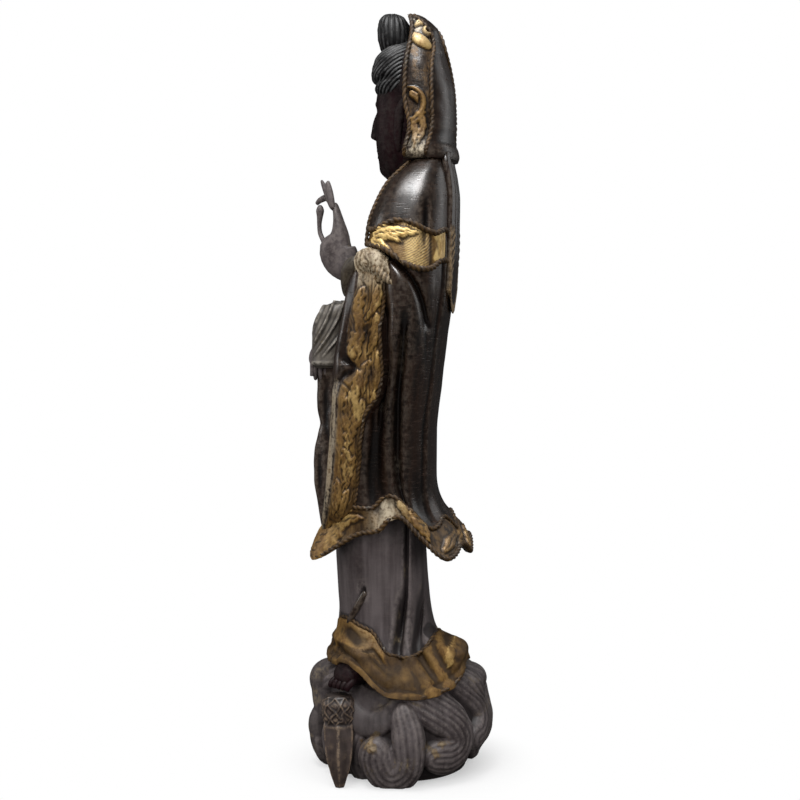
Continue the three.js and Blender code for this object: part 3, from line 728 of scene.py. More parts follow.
def features(x, height):
    """Brow, eyelids, nose, lips and chin of a calm, plain face."""
    wide = np.abs(x)
    nose = 6.8 * hill(x, 0, 3.6) * ease(440, 420, height) * ease(414, 419, height)
    bridge = 3 * hill(x, 0, 3.2) * hill(height, 434, 9)
    wings = 3 * hill(wide, 3.6, 2.2) * hill(height, 420, 3)
    sockets = -3.2 * hill(wide, 11.5, 6) * hill(height, 437, 5)
    lids = 2.2 * hill(wide, 11.5, 5) * hill(height, 433.4, 2.8)
    slit = -1.1 * hill(wide, 11.5, 4.6) * hill(height, 431.2, 0.9)
    brow = 1.4 * hill(wide, 11, 8) * hill(height, 446 - 0.02 * wide**2, 2.4)
    lips = 2.6 * hill(x, 0, 6) * (hill(height, 407.6, 2) + hill(height, 402.4, 2))
    chin = 2.4 * hill(x, 0, 8) * hill(height, 391, 6)
    return nose + bridge + wings + sockets + lids + slit + brow + lips + chin


def head(finish):
    turn, share = around(104, 120)
    angle = turn - 0.45 * np.cos(turn)
    height = mix(381, 489, share)
    front, back = face_front(height), head_back(height) - 8
    reach = oblong(angle, face_half_width(height), (back - front) / 2, 2.25)
    x = reach * np.cos(angle)
    shown = ease(0.2, -0.6, np.sin(angle))
    y = (front + back) / 2 + reach * np.sin(angle) - features(x, height) * shown
    points = turned(lay(x, y + 10, height))
    return carved("head", lift(points, noise(points, 6, 9) * 0.15), finish)


def hair(finish):
    angle, share = around(84, 260)
    half_width = profile([[440, 26], [445, 30], [452, 33], [464, 34.5], [476, 32], [486, 24], [494, 8]])
    front = profile([[440, -24], [446, -27], [456, -31], [466, -33], [478, -30.5], [488, -22], [494, -9]])
    low = mix(462, 446, ease(0.1, 0.6, np.abs(np.cos(angle))))
    height = mix(low, 493, share)
    round_end = 1 - 0.12 * (1 - ease(0, 0.18, share))
    reach = oblong(angle, half_width(height) - 2, (8 - front(height)) / 2, 2.2) * round_end
    x = reach * np.cos(angle)
    y = (8 + front(height)) / 2 + reach * np.sin(angle)
    local = lay(x, y + 12, height)
    z = local[..., 2]
    waist = 2.6 * hill(z, 548 + 0.25 * (y + 20), 2.6) * ease(-4, -14, y)
    strands = np.abs(np.sin(np.hypot(y - 48, z - 488) * math.pi / 2.8)) ** 0.5
    parting = hill(x, 0, 2.2) * ease(0.2, -0.4, np.sin(angle))
    points = turned(lift(local, 1.5 * strands - 0.9 - 1.6 * parting - waist))
    edge, hollow = wear_and_shade(points)
    # Besides the rubbed edges, the crest of each strand takes the rubbed grey as a painted highlight.
    masks = {"edge": np.maximum(edge, 0.8 * strands**6), "hollow": hollow}
    return make_mesh("hair", [(points, masks)], finish)


def bun(finish):
    angle, share = around(66, 150)
    tilt = mix(0.03, 0.97, share) * math.pi
    up = -np.cos(tilt)
    out = np.sin(tilt) ** 0.7
    strands = np.abs(np.sin(angle * 11 + 1.1 * up)) ** 0.5
    rim = hill(np.cos(angle - 2.75), 1, 0.035)
    x = 17.5 * out * np.sin(angle)
    y = -6 + 14 * out * np.cos(angle) - 2 * up
    local = lay(x, y, 497.6 + 18.6 * up)
    points = turned(lift(local, (1.1 * strands - 0.6 + 1.8 * rim) * ease(0, 0.4, out)))
    edge, hollow = wear_and_shade(points)
    # Besides the rubbed edges, the crest of each strand takes the rubbed grey as a painted highlight.
    masks = {"edge": np.maximum(edge, 0.4 * strands**6), "hollow": hollow}
    return make_mesh("bun", [(points, masks)], finish)


EAR = [(27, 0, 404, 2.2, 2.6), (28.5, 0, 414, 2.6, 3.2), (30, 2, 434, 2.6, 4.2), (28.5, 5, 446, 2, 2.4)]


def ears(finish):
    shells = []
    for side in (1, -1):
        local = [[side * x, y + HEAD_AXIS, height, *size] for x, y, height, *size in EAR]
        shells.append(aged(turned(limb(local, SIDEWAYS, 24, 16))))
    return make_mesh("ears", shells, finish)


# Hood, with its gilded band between two ropes. Distances are back from the axis of the head.

hood_half_width = profile([
    [397, 36], [403, 39.5], [409, 38.8], [418, 37], [430, 36.2], [440, 36], [468, 34], [484, 29],
    [496, 23], [505.5, 17], [511.5, 11], [515, 5]])
hood_back = profile([
    [397, 36.2], [402, 37], [407, 36.2], [412, 34], [417, 33.2], [424, 34], [434, 34.2], [452, 33.4],
    [469, 29.6], [485, 25.6], [496, 23], [501, 21], [507, 15.5], [511.5, 9], [515, 1]])
hood_front = profile([
    [396, 7], [405, 8.5], [421, 11.8], [434, 9.4], [445, 7.3], [456, 7], [469, 7.4], [481, 8.1],
    [496, 8.6], [503, 7], [509, 4.5], [513, 1], [514.5, -1]])
band_rear = profile([
    [396, 24.6], [403, 25], [416, 26.6], [428, 27.6], [440, 27.2], [463, 26], [474, 25], [483, 24.4],
    [493, 22.6], [501, 18.6], [509, 10.5], [513.5, 3]])
HOOD_LEAVES = [
    ((11, 537), -52, 12, 6, 0.1),
    ((23, 522), -122, 20, 7, -0.12),
    ((21, 520), -98, 24, 6, 0.08),
    ((12, 516), -70, 17, 4.5, 0.1),
    ((16, 512), -92, 20, 5, 0.0),
]


def hood_wall(angle, share):
    """The hood from its rolled lower edge to the crown of the head."""
    height = mix(398, 514.5, 1 - (1 - share) ** 1.25)
    sine = np.sin(angle)
    middle = mix(10, (hood_back(height) + hood_front(height)) / 2, ease(498, 508, height))
    reach = oblong(angle, hood_half_width(height), np.where(sine > 0, hood_back(height) - middle, 14), 2.3)
    y = np.maximum(hood_front(height), middle + reach * sine)
    return lay(reach * np.cos(angle), y + HEAD_AXIS, height)


def hood(finish):
    angle, share = around(150, 260)
    wall = hood_wall(angle, share)
    back, z = wall[..., 1] - HEAD_AXIS, wall[..., 2]
    start, end = hood_front(z - CROWN), band_rear(z - CROWN)
    on_band = ease(start + 0.2, start + 1.2, back) * under(end, 1, back)
    seen_y = turned(np.stack([np.abs(wall[..., 0]), wall[..., 1], z], -1))[..., 1]
    relief = leaves(seen_y, z, HOOD_LEAVES)
    crescent = np.abs(np.hypot(seen_y - 9.5, z - 528) - 12.5) / mix(0.8, 2.2, ease(10, 22, seen_y))
    crescent = np.sqrt(np.clip(1 - crescent**2, 0, 1)) * ease(8.5, 11, seen_y)
    petal_y = seen_y - 18.5
    petal = np.clip(1 - (petal_y / 9) ** 2 - ((z - 578 + 0.5 * petal_y) / 5.5) ** 2, 0, 1) ** 0.4
    curl = np.clip(1.3 - np.abs(np.hypot(seen_y - 24, z - 587) - 3.2) / 1.2, 0, 1)
    twig = leaves(seen_y, z, [((13, 590), 20, 20, 6, 0.1)])
    relief = np.maximum.reduce([relief, 0.9 * crescent, 0.9 * petal, curl, twig]) * on_band
    fold = ease(0, 1.5, (z - 566) * 0.6 - (36 - seen_y) * 0.8) * ease(end + 1, end + 3, back)
    rise = 2.0 * relief - 0.9 * on_band * (1 - relief) + 1.6 * fold + 0.2 * noise(wall, 8, 10)
    points = turned(lift(wall, rise))
    shine = ease(0.05, 0.3, relief) * mix(0.78, 0.87, ease(560, 575, z))
    gilt = on_band * np.maximum(0.22 - 0.03 * hill(z, 557, 12), shine)
    pale = on_band * (hill(z, 494, 10) + 0.65 * ease(570, 585, z)) * (1 - 0.5 * ease(0.05, 0.3, relief))
    return carved("hood", points, finish, {"gilt": gilt, "pale": pale})


def hood_ropes(finish):
    angle, share = around(170, 360)
    wall = hood_wall(angle, share)
    ropes = []
    for line, inward in ((hood_front, 0.9), (band_rear, 0)):
        spots = []
        for height in np.linspace(399, 514, 80):
            row = np.argmin(np.abs(wall[:, 0, 2] - CROWN - height))
            off = np.abs(wall[row, :, 1] - HEAD_AXIS - line(height) - inward)
            spots.append((row, np.argmin(off + np.where(wall[row, :, 0] > 0, 0, OUT_OF_REACH))))
        path = smooth(traced(wall, spots, 0.5), 5)
        whole = np.concatenate([path, (path * [-1, 1, 1])[::-1]])
        ropes.append(rope(turned(whole), 1.8))
    return make_mesh("hood_ropes", ropes, finish)


def veil_tail(finish):
    """The end of the hood that hangs down the back over the shawl, to a rounded point."""
    side, share = np.meshgrid(np.linspace(-1, 1, 84), np.linspace(0, 1, 100))
    low = 277 + 18 * np.abs(side) ** 2.2
    height = mix(low, 404, share)
    half = profile([[277, 31.5], [386, 27], [396, 26], [404, 23.5]])(height)
    front, back = shawl_front(height), shawl_back(height)
    spread = 0.5 * side
    reach = oblong(math.pi / 2 - spread, shawl_half_width(height) + 3, (back - front) / 2, 2.3)
    x = side * half
    y = (front + back) / 2 + reach * np.cos(spread) + 1.5 * ease(386, 404, height)
    pleat = 1.1 * np.cos(side * 9.0) * ease(300, 330, height)
    edge_off = (1 - np.abs(side)) * half
    above = height - low
    border = ease(8, 6.5, np.minimum(edge_off, above)) * ease(350, 338, height)
    scallop = np.abs(np.sin((height + x) * 0.5)) * border
    face = lay(x, y + 2.2 + pleat + 0.8 * scallop, height)
    inner = lay(x, y - 3.0, height)
    ring = np.concatenate([face, inner[:, ::-1]], axis=1)[:, ::-1]
    gilt = np.concatenate([border * 0.6, border[:, ::-1] * 0], axis=1)[:, ::-1]
    return carved("veil_tail", ring, finish, {"gilt": gilt, "pale": 0.3 * gilt})


# Hands

LEFT_HAND = [
    [(50, -19, 302, 10, 10), (46, -31, 308, 11, 11), (44, -40, 317, 11.5, 14.5),
     (44, -44.8, 328, 12, 13.7), (44, -42.5, 338, 12, 7.7), (44, -43.6, 350, 11.5, 4.6),
     (44, -46.4, 363, 11, 3.6)],
    [(51, -47, 358, 2.7, 3), (50.5, -49, 370, 2.4, 2.5), (50, -50.8, 379.5, 1.8, 1.8)],
    [(46, -47.5, 358, 2.8, 3), (46, -50.5, 371, 2.4, 2.5), (45.5, -52.5, 379, 1.8, 1.8)],
    [(41, -48, 358, 2.8, 3), (40.5, -53, 370, 2.4, 2.4), (40, -57.6, 381, 1.7, 1.7)],
    [(37, -47, 357, 3, 3.4), (36, -53, 367, 2.8, 2.8), (35, -59, 366, 2.6, 2.4),
     (35, -62.6, 362.5, 2.2, 2.2)],
    [(41, -51, 324, 5, 6), (38, -56, 333, 2.8, 2.6), (36, -59.4, 340, 2, 1.9),
     (35, -60.2, 347, 1.9, 1.8), (35, -59.8, 353, 2.5, 2.5), (35, -59.6, 358, 3.7, 3.7),
     (35, -59.6, 362, 2.8, 2.8)],
]
RIGHT_FINGERS = (-78.6, -74, -69.4, -64.8)
RIGHT_HAND = [
    [(-50, -70, 250, 14, 9), (-50, -71, 238, 14, 8), (-50, -72, 228, 12.5, 6)],
    [(-45, -79.5, 248, 2.6, 3), (-44, -81, 238, 1.8, 1.8), (-44, -81, 227, 1.9, 1.9),
     (-44, -81, 224, 2.6, 2.6)],
    *([(-48, y, 238, 2.4, 3.6), (-46, y, 229, 2.3, 3.2), (-47, y, 220.5, 1.9, 2.2)]
      for y in RIGHT_FINGERS),
]


def hand(name, rows, across, finish):
    return make_mesh(name, [aged(limb(row, across, 34, 22)) for row in rows], finish)


FAR_CUFF = [
    [231, 49, -80, -60, 11], [236, 50, -82.6, -58, 15], [250, 51, -82.4, -56, 16], [264, 51, -82, -55, 16],
    [272, 51, -80, -54, 15], [279, 50, -76, -52, 13], [284, 50, -71, -50, 10], [287.5, 50, -64, -52, 5]]


def far_cuff(finish):
    arm = limb([(-66, 8, 272, 14, 14), (-60, -26, 274, 15, 14), (-54, -50, 266, 14, 12)], SIDEWAYS, 60, 60)
    angle, share = around(90, 140)
    block = sleeve_wall(angle, share, -1, FAR_CUFF, 1)
    y, z = block[..., 1], block[..., 2]
    across = 0.81 * (y + 70) - 0.59 * (z - 340) + 0.006 * (z - 340) ** 2
    pleats = np.abs(np.cos(across * math.pi / 7)) ** 12 * ease(326, 340, z)
    pleats = pleats * (1 - 0.85 * ease(-0.6, -0.9, facing(block)[..., 1]))
    rim = hill(z, 323, 2.5)
    points = lift(block, 1.7 * pleats - 0.6 + 0.9 * rim)
    edge, hollow = wear_and_shade(points)
    # The upper part is painted paler: painted light on the cuff's top, which faces the lamps.
    masks = {"edge": np.maximum(edge, pleats), "hollow": hollow, "pale": ease(355, 372, z) * 0.6}
    return make_mesh("far_cuff", [aged(arm, 0.2, 0.9), (points, masks)], finish)


def near_cuff(finish):
    """The worn top of the sleeve over the raised wrist: a dark roll, a brocade cap and a twisted edge."""
    roll = limb([(46, -36, 290, 4.5, 5.5), (52, -33.5, 303, 7, 7.5), (57, -30, 313, 7.5, 8),
                 (61, -24, 319, 6, 6)], SIDEWAYS, 60, 24)
    cap = limb([(58, -23, 300, 6, 5), (61, -21, 316, 8, 8), (64, -14, 317.5, 9, 8.5),
                (66, -7, 312, 8, 8.5), (66, 0, 303, 6, 6)], SIDEWAYS, 120, 96)
    y, z = cap[..., 1], cap[..., 2]
    smooth_patch = hill(y, -10, 5) * ease(399, 403, z)
    drift = noise(cap, 6, 22) * 2.6
    curls = np.abs(np.sin(y * 0.95 + drift + 0.12 * z)) ** 3
    curls = np.maximum(curls, (1 - np.abs(noise(cap * [1, 1, 0.6], 2.4, 12))) ** 6) * (1 - smooth_patch)
    cap = lift(cap, 1.2 * curls + 0.9 * smooth_patch)
    gaps = (1 - curls) * (1 - smooth_patch)
    pale = np.maximum(0.3 + 0.6 * curls, 0.95 * smooth_patch)
    # The gaps between the curls take painted shade through the hollow mask.
    cap_masks = {"gilt": np.full(y.shape, 0.5), "pale": 0.85 * pale, "hollow": 0.6 * gaps, "edge": curls}
    path = spline([(67, -17, 403), (72, -10, 399), (74.5, -3.5, 393), (75, 2.5, 387)], 40)
    border, border_masks = rope(path, 3.4, 7.0)
    border_masks["pale"] = np.full(border.shape[:2], 0.4)
    border_masks["gilt"] = np.full(border.shape[:2], 0.5)
    shells = [aged(roll, 0.3, 0.7), (cap, cap_masks), (border, border_masks)]
    return make_mesh("near_cuff", shells, finish)


# Inner robe and its gilded hem

skirt_half_width = profile([[6, 46], [40, 43], [100, 44], [152, 40]])
skirt_front = profile([[6, -51], [40, -49.5], [56, -50.5], [100, -52.5], [152, -38]])
skirt_back = profile([[6, 31], [24, 27], [50, 23], [100, 20], [140, 20]])
spread_height = round_profile([
    [-160, -14], [-130, 4], [-105, 8], [-90, 7], [-76, 6], [-64, 4], [-56, 0.8], [-45, 1], [-38, 5],
    [-32, 5], [-26, 3], [-20, 0], [-11.5, -9], [0, -17], [16, -18.5], [27, -17.5], [40, -15], [50, -10.7],
    [58, -3.3], [66, 1.5], [75, 3.6], [95, 0], [120, -10], [150, -18], [180, -20]])
spread_reach = round_profile([
    [-160, 68], [-130, 61], [-105, 57], [-90, 55], [-76, 56], [-64, 61.5], [-52, 63], [-34, 66],
    [-16, 71], [10, 71.4], [20, 72.2], [32, 69.6], [46, 66], [56, 64], [63, 60.5], [70, 56], [80, 52],
    [95, 50], [120, 60], [150, 68], [180, 69]])
shelf_top = round_profile([
    [-180, 10], [-100, 2], [-50, 2], [-30, 10], [20, 14], [34, 16], [45, 20], [58, 14], [70, 8], [85, 4],
    [110, 6], [150, 14]])
PLEATS = [
    ([[0, 1.5], [40, 5], [70, 8]], -8, 3.2, -10, 66),
    ([[20, 5], [60, 8.2], [120, 9]], -6, 1.5, 10, 132),
    ([[0, 11], [70, 13]], 2.2, 3, -10, 124),
    ([[0, 15], [40, 18.5], [70, 20.5]], -8, 3.0, -10, 66),
    ([[20, 18], [60, 20.5], [120, 21]], -6, 1.4, 10, 132),
    ([[20, 26], [80, 24.5]], 1.4, 2.4, -10, 124),
]


def skirt_wall(angle, share):
    """The lower robe, spread over the clouds at its hem, with a shelf on the figure's back."""
    low = spread_height(angle)
    height = mix(low, 152, share**1.5)
    front, back = skirt_front(height), skirt_back(height)
    reach = oblong(angle, skirt_half_width(height), (back - front) / 2, 2.3)
    y0 = (front + back) / 2 + reach * np.sin(angle)
    relief = folds(y0, height, PLEATS) * np.abs(np.cos(angle)) ** 0.5
    degrees = np.degrees(angle)
    shelf = np.exp(-(((degrees - 74) / 34) ** 4))
    flare = mix((1 - ease(0, 0.42, share)) ** 1.5, 1 - ease(0, 18, height - low - shelf_top(angle)), shelf)
    swell = 2 * shelf * hill(height - low, 10, 8)
    x = mix((reach + relief) * np.cos(angle), (spread_reach(angle) + swell) * np.cos(angle), flare)
    y = mix(y0, (spread_reach(angle) + swell) * np.sin(angle), flare)
    return lay(x, y, height)


LOWER_LEAVES = [((42, 88), 82, 20, 8, 0.0)]
gilt_top = profile([
    [-63, 96], [-50, 112], [-45, 124], [-38, 124.6], [-28, 120], [-16.8, 115.8], [-12, 108], [-6.5, 100.4],
    [-2.5, 97.4], [5.4, 96], [16, 97], [23, 100], [28, 107], [33, 113], [44, 116], [60, 116]])


def skirt(finish):
    angle, share = around(130, 350, 1.15)
    wall = skirt_wall(angle, share)
    y, z = wall[..., 1], wall[..., 2]
    height = z - CROWN
    near = ease(10, 24, wall[..., 0])
    top = np.where(wall[..., 0] > 10, gilt_top(y), 101 + 4 * np.sin(angle * 4))
    on_band = under(top, 1.2, z)
    relief = leaves(y, z, LOWER_LEAVES) * near * on_band
    # Painted shade in the pleats' grooves above the band, passed on as hollow.
    cut = np.clip(-folds(y, height, PLEATS) / 4, 0, 1) * near * (1 - on_band)
    slot = 3.5 * hill(y, -25, 2.2) * hill(z, 147, 4) * near
    below = gilt_top(y) - z
    stain = near * on_band * np.clip(1.7 * hill(y, -32, 8) * hill(below, 11, 5), 0, 1)
    depth = profile([[-48, 20], [-36, 20], [-22, 16], [-8, 8]])(y)
    panel = near * ease(1, 2.5, below) * under(depth, 1.5, below)
    panel = panel * ease(-50, -46, y) * ease(-4, -9, y)
    waves = noise(wall * [1, 1, 0.7], 11, 14) * (0.15 + 1.7 * on_band) - 2.2 * stain
    sweep = z - profile([[-50, 104], [-36, 101], [-24, 96], [-14, 86], [-4, 78], [10, 74]])(y)
    swept = 2.5 * hill(sweep, 3, 4) - 2.6 * hill(sweep, -2.5, 2.4)
    waves = waves + near * on_band * swept * ease(12, -4, y)
    waves = waves + near * on_band * 1.9 * np.cos((y + 0.8 * z) * 0.42) * hill(y, 30, 18)
    groove = near * hill(below, depth + 1.5, 1.6) * ease(-4, -10, y)
    waves = waves * (1 - 0.7 * panel) + 1.3 * panel * (1 - stain) - groove
    up = climb(wall)
    lip = 1.6 * hill(up, 3, 2.4) - 1.5 * hill(up, 8, 2.2)
    waves = waves + on_band * lip * (0.8 + 0.6 * noise(wall, 9, 26))
    points = lift(wall, 1.5 * relief + 1.1 * on_band + waves - slot)
    edge, hollow = wear_and_shade(points)
    ochre = near * hill(y, -20, 12) * ease(96, 102, z)
    patch = near * np.maximum(0.85 * hill(y, 38, 15), 0.6 * ochre)
    olive = on_band * (1 - panel) * (1 - patch) * (0.74 + 0.4 * noise(wall, 6, 27))
    olive = olive * (1 - 0.6 * hill(up, 2.5, 2.5))
    gilt = 0.49 + 0.08 * noise(wall, 9, 19) + 0.27 * ease(0.05, 0.4, relief) + 0.12 * patch
    gilt = on_band * np.clip(np.maximum(gilt, 0.8 * panel) * (1 - 0.45 * stain), 0, 0.9)
    # cut adds painted shade in the pleats; stain and olive darken the hem's lower band through the same
    # mask.
    hollow = np.clip(np.maximum.reduce([hollow, stain, cut, olive]), 0, 1)
    masks = {"gilt": gilt, "pale": on_band * near * ochre * 0.12, "edge": edge, "hollow": hollow}
    rows = [points[0] * [0.82, 0.82, 1] + [0, 0, -2], points[0] * [0.95, 0.95, 1] + [0, 0, -1.5]]
    return make_mesh("skirt", [with_rows_below(rows, points, masks)], finish)


def skirt_ropes(finish):
    angle, share = around(90, 260, 1.15)
    wall = skirt_wall(angle, share)
    low = rope(level(closed(wall), 1.6), 1.7)
    spots = [find(wall, y, gilt_top(y)) for y in np.linspace(-44, 34, 60)]
    return make_mesh("skirt_ropes", [low, rope(smooth(traced(wall, spots, 1.2), 4), 1.6)], finish)


def hanging_roll(finish):
    rows = [(42, -23, 59, 2.8, 2.8), (41, -30, 46, 2.8, 2.8), (36, -38, 32, 2.6, 2.6)]
    return carved("hanging_roll", limb(rows, SIDEWAYS, 40, 20), finish)


def left_foot(finish):
    across = [0.6, 0.5, 0]
    sole = [(28, -18, 4, 14, 13), (41, -29, -1, 15.5, 13), (51, -37, -6, 14, 9.5), (56, -42, -10, 11, 5.5)]
    rows = [sole]
    for toe in range(-2, 3):
        x, y = 57 + 2.8 * toe, -39 + 3.7 * toe
        rows.append([
            (x - 6, y + 5, -6, 2.3, 3), (x + 1, y - 1.5, -11, 2.2, 2.8), (x + 2, y - 2.5, -15, 1.8, 2)])
    return make_mesh("left_foot", [aged(limb(row, across, 36, 30), 0.6) for row in rows], finish)


# Clouds: strokes of carved strands over one mound. A stroke is its points as degrees, height and half
# width, how far it stands out, and whether strands run along it.
DEGREE = 1.17  # millimetres round the mound for one degree
STRAND = 4.2  # width of a carved strand
mound_reach = profile([
    [0, 54], [5, 57.5], [12, 61], [22, 64.5], [38, 66.5], [52, 63.5], [64, 58], [76, 49], [84, 38],
    [88, 20]])
COMMAS = [
    ([(7.5, 58, 5), (9, 53, 10.5), (11, 44.6, 12.5), (12, 34.5, 13), (12.5, 24, 12.5), (9.8, 14.5, 13.5),
      (2.5, 9, 14.5), (-5, 12.5, 15), (-9, 23.5, 15), (-8.5, 29.5, 11)], 14.0, True),
    ([(12.8, 68.8, 8), (23.8, 64, 16), (35.5, 55.6, 17), (45, 46.7, 14.5), (50.5, 36, 11), (48, 26.5, 13),
      (40.8, 22, 16), (33, 22.5, 13.5), (29, 23, 10)], 10.0, True),
    ([(45, 84, 6), (58, 76, 12), (70, 66, 14), (79, 54, 13), (80, 41, 12), (73, 32, 12), (66, 30, 10)],
     8.0, True),
    ([(58, 92, 5), (74, 88, 9), (88, 76, 11), (96, 60, 11), (100, 44, 10)], 5.0, True),
    ([(-34, 63, 6), (-28, 54, 9), (-20, 48.5, 10), (-10, 49, 10), (0, 56, 9), (9, 65, 7)], 6.0, False),
    ([(-34, 72, 5), (-22, 64, 8), (-8, 64, 8), (5, 71, 6)], 3.0, False),
    ([(-70, 80, 8), (-75, 70, 13), (-75, 58, 15), (-72, 48, 11)], 10.0, False),
    ([(-72, 42, 9), (-77, 28, 14), (-76, 14, 13)], 9.5, False),
    ([(-48, 42, 8), (-50, 24, 12), (-49, 8, 11)], 6.0, True),
    ([(-22, 40, 5), (-27, 28, 8), (-30, 12, 8), (-29, 0, 8)], 3.0, True),
]

# Scrolls of the hidden sides, as the places of a row in degrees, one stroke and how far it stands out
FAR_ROWS = [
    ((104, 134, 164, 194, 224, 252, 276),
     [(0, 62, 6), (7, 48, 12), (9, 32, 13), (7, 19, 13), (-2, 13, 13), (-9, 18, 13), (-10, 26, 10)], 8.5),
    ((118, 148, 178, 208, 238, 266, 290),
     [(-20, 84, 6), (-8, 78, 10), (4, 68, 12), (12, 52, 11), (10, 38, 8)], 4.5),
]


def far_commas():
    """The strokes of both rows, turning left and right by turns."""
    strokes = []
    for places, stroke, proud in FAR_ROWS:
        for i, at in enumerate(places):
            way = 1 if i % 2 else -1
            strokes.append(([(at + way * a, up, wide) for a, up, wide in stroke], proud, True))
    return strokes


def cloud_relief(angle, height):
    """How far the clouds stand out, and how much painted shade each place of the mound gets."""
    relief = np.full(angle.shape, -1.0)
    groove = np.full(angle.shape, 1.0)
    around_it = np.degrees(angle) * DEGREE
    for rows, proud, stranded in far_commas() + COMMAS:
        path = spline([(a * DEGREE, up, wide) for a, up, wide in rows], 8 * len(rows))
        turns = np.round((path[:, 0].mean() - around_it) / (360 * DEGREE))
        x = around_it + turns * 360 * DEGREE
        closest = np.full(angle.shape, 9.0)
        off = np.zeros(angle.shape)
        for (x0, z0, w0), (x1, z1, w1) in zip(path[:-1], path[1:]):
            along = np.array([x1 - x0, z1 - z0])
            length = np.hypot(*along) + 1e-9
            t = np.clip(((x - x0) * along[0] + (height - z0) * along[1]) / length**2, 0, 1)
            dx, dz = x - x0 - t * along[0], height - z0 - t * along[1]
            away = np.hypot(dx, dz)
            share = away / mix(w0, w1, t)
            better = share < closest
            closest = np.where(better, share, closest)
            off = np.where(better, np.where(dx * along[1] > dz * along[0], away, -away), off)
        dome = np.sqrt(np.clip(1 - closest**2.6, 0, 1))
        strand = np.abs(np.cos(off * math.pi / STRAND)) ** 0.3 if stranded else np.ones(angle.shape)
        height_here = proud * dome + 1.7 * (strand - 1) * ease(0, 0.5, dome)
        on_top = (height_here > relief) & (closest < 1)
        relief = np.where(on_top, height_here, relief)
        # Painted shade in the grooves between strands and round each stroke's edge; strokes without
        # strands get a flat half share all over.
        shade = 1 - strand if stranded else 0.5
        groove = np.where(on_top, np.maximum(1 - ease(0, 0.55, dome), shade), groove)
    return relief, groove


def toward(angle, middle, width):
    """1 in one direction round the mound, given in degrees, and 0 away from it."""
    return hill(np.mod(np.degrees(angle) - middle + 180, 360), 180, width)


def clouds(finish):
    up = np.concatenate([np.linspace(0, 84, 104), [85.5, 86.6, 87.4, CROWN]])
    angle, z = np.meshgrid(np.arange(440) * TAU / 440, up)
    swell = 13 * hill(z, 75, 12) * (toward(angle, 90, 34) + toward(angle, -84, 34))
    swell = swell - 5 * hill(z, 15, 9) * toward(angle, 90, 24)
    swell = swell - 4 * hill(z, 46, 8) * toward(angle, -84, 30)
    reach = mound_reach(z) + swell
    wall = np.stack([reach * np.cos(angle), reach * np.sin(angle), z], -1)
    relief, groove = cloud_relief(angle, z)
    relief = (relief + 0.25 * noise(wall, 5, 15)) * ease(88, 78, z)
    points = lift(wall, relief)
    foot = 0.2
    points[..., 2] = np.clip(points[..., 2], foot, CROWN)
    points[0, :, 2] = foot
    edge, _ = wear_and_shade(points, 1.0)
    lowest = points[:1] * [0.93, 0.93, 1]
    degrees = np.degrees(np.arctan2(wall[..., 1], wall[..., 0]))
    dusty = hill(degrees, -9, 9) * hill(z, 38, 7) + hill(degrees, 29, 8) * hill(z, 33, 6)
    dusty = np.clip(dusty * (0.9 + noise(wall, 4, 24)), 0, 1) * (1 - 0.5 * groove)
    masks = {"edge": edge, "hollow": np.clip(groove, 0, 1), "gilt": 0.5 * dusty, "pale": 0.3 * dusty}
    masks = {mask: np.concatenate([value[:1], value]) for mask, value in masks.items()}
    return make_mesh("clouds", [(np.concatenate([lowest, points]), masks)], finish)


def pillar(finish):
    """The faceted rock under the left foot, with its netted neck."""
    sizes = profile([
        [-3, 0.2], [3, 0.36], [12, 0.62], [26, 0.9], [46, 1.0], [49, 0.93], [52, 1.0], [62, 1.02],
        [68, 0.8]])
    turn, share = around(90, 132)
    z = mix(-3, 68, share)
    facet = TAU / 6
    off = np.mod(turn + 0.2, facet) - facet / 2
    flat = np.cos(facet / 2) / np.cos(off)
    bound = ease(47, 50, z)
    wander = noise(np.stack([np.cos(turn) * 12, np.sin(turn) * 12, z], -1), 6, 18)
    rising, falling = np.sin(turn * 4 + z * 0.3 + wander), np.sin(turn * 4 - z * 0.3 + wander * 1.5)
    net = np.minimum(np.abs(rising), np.abs(falling))
    ridge = ease(0.3, 0.05, net) * bound
    reach = 13.2 * sizes(z) * mix(flat, 1.0, 0.7 * bound) + 0.9 * ridge - 0.5 * bound + 0.3 * wander
    lean = ease(64, 0, z)
    x = 57 + 13.5 * lean + reach * np.cos(turn + 0.3)
    y = -42 + 3 * lean + reach * np.sin(turn + 0.3)
    points = np.stack([x, y, z], -1)
    edge, hollow = wear_and_shade(points, 2.0)
    points[..., 2] = np.maximum(points[..., 2], 0.3)
    corner = hill(np.abs(off), facet / 2, 0.07) * (1 - bound)
    masks = {"edge": np.maximum.reduce([edge, corner, 0.8 * ridge]), "hollow": hollow}
    return make_mesh("pillar", [(points, masks)], finish)


# Finishes


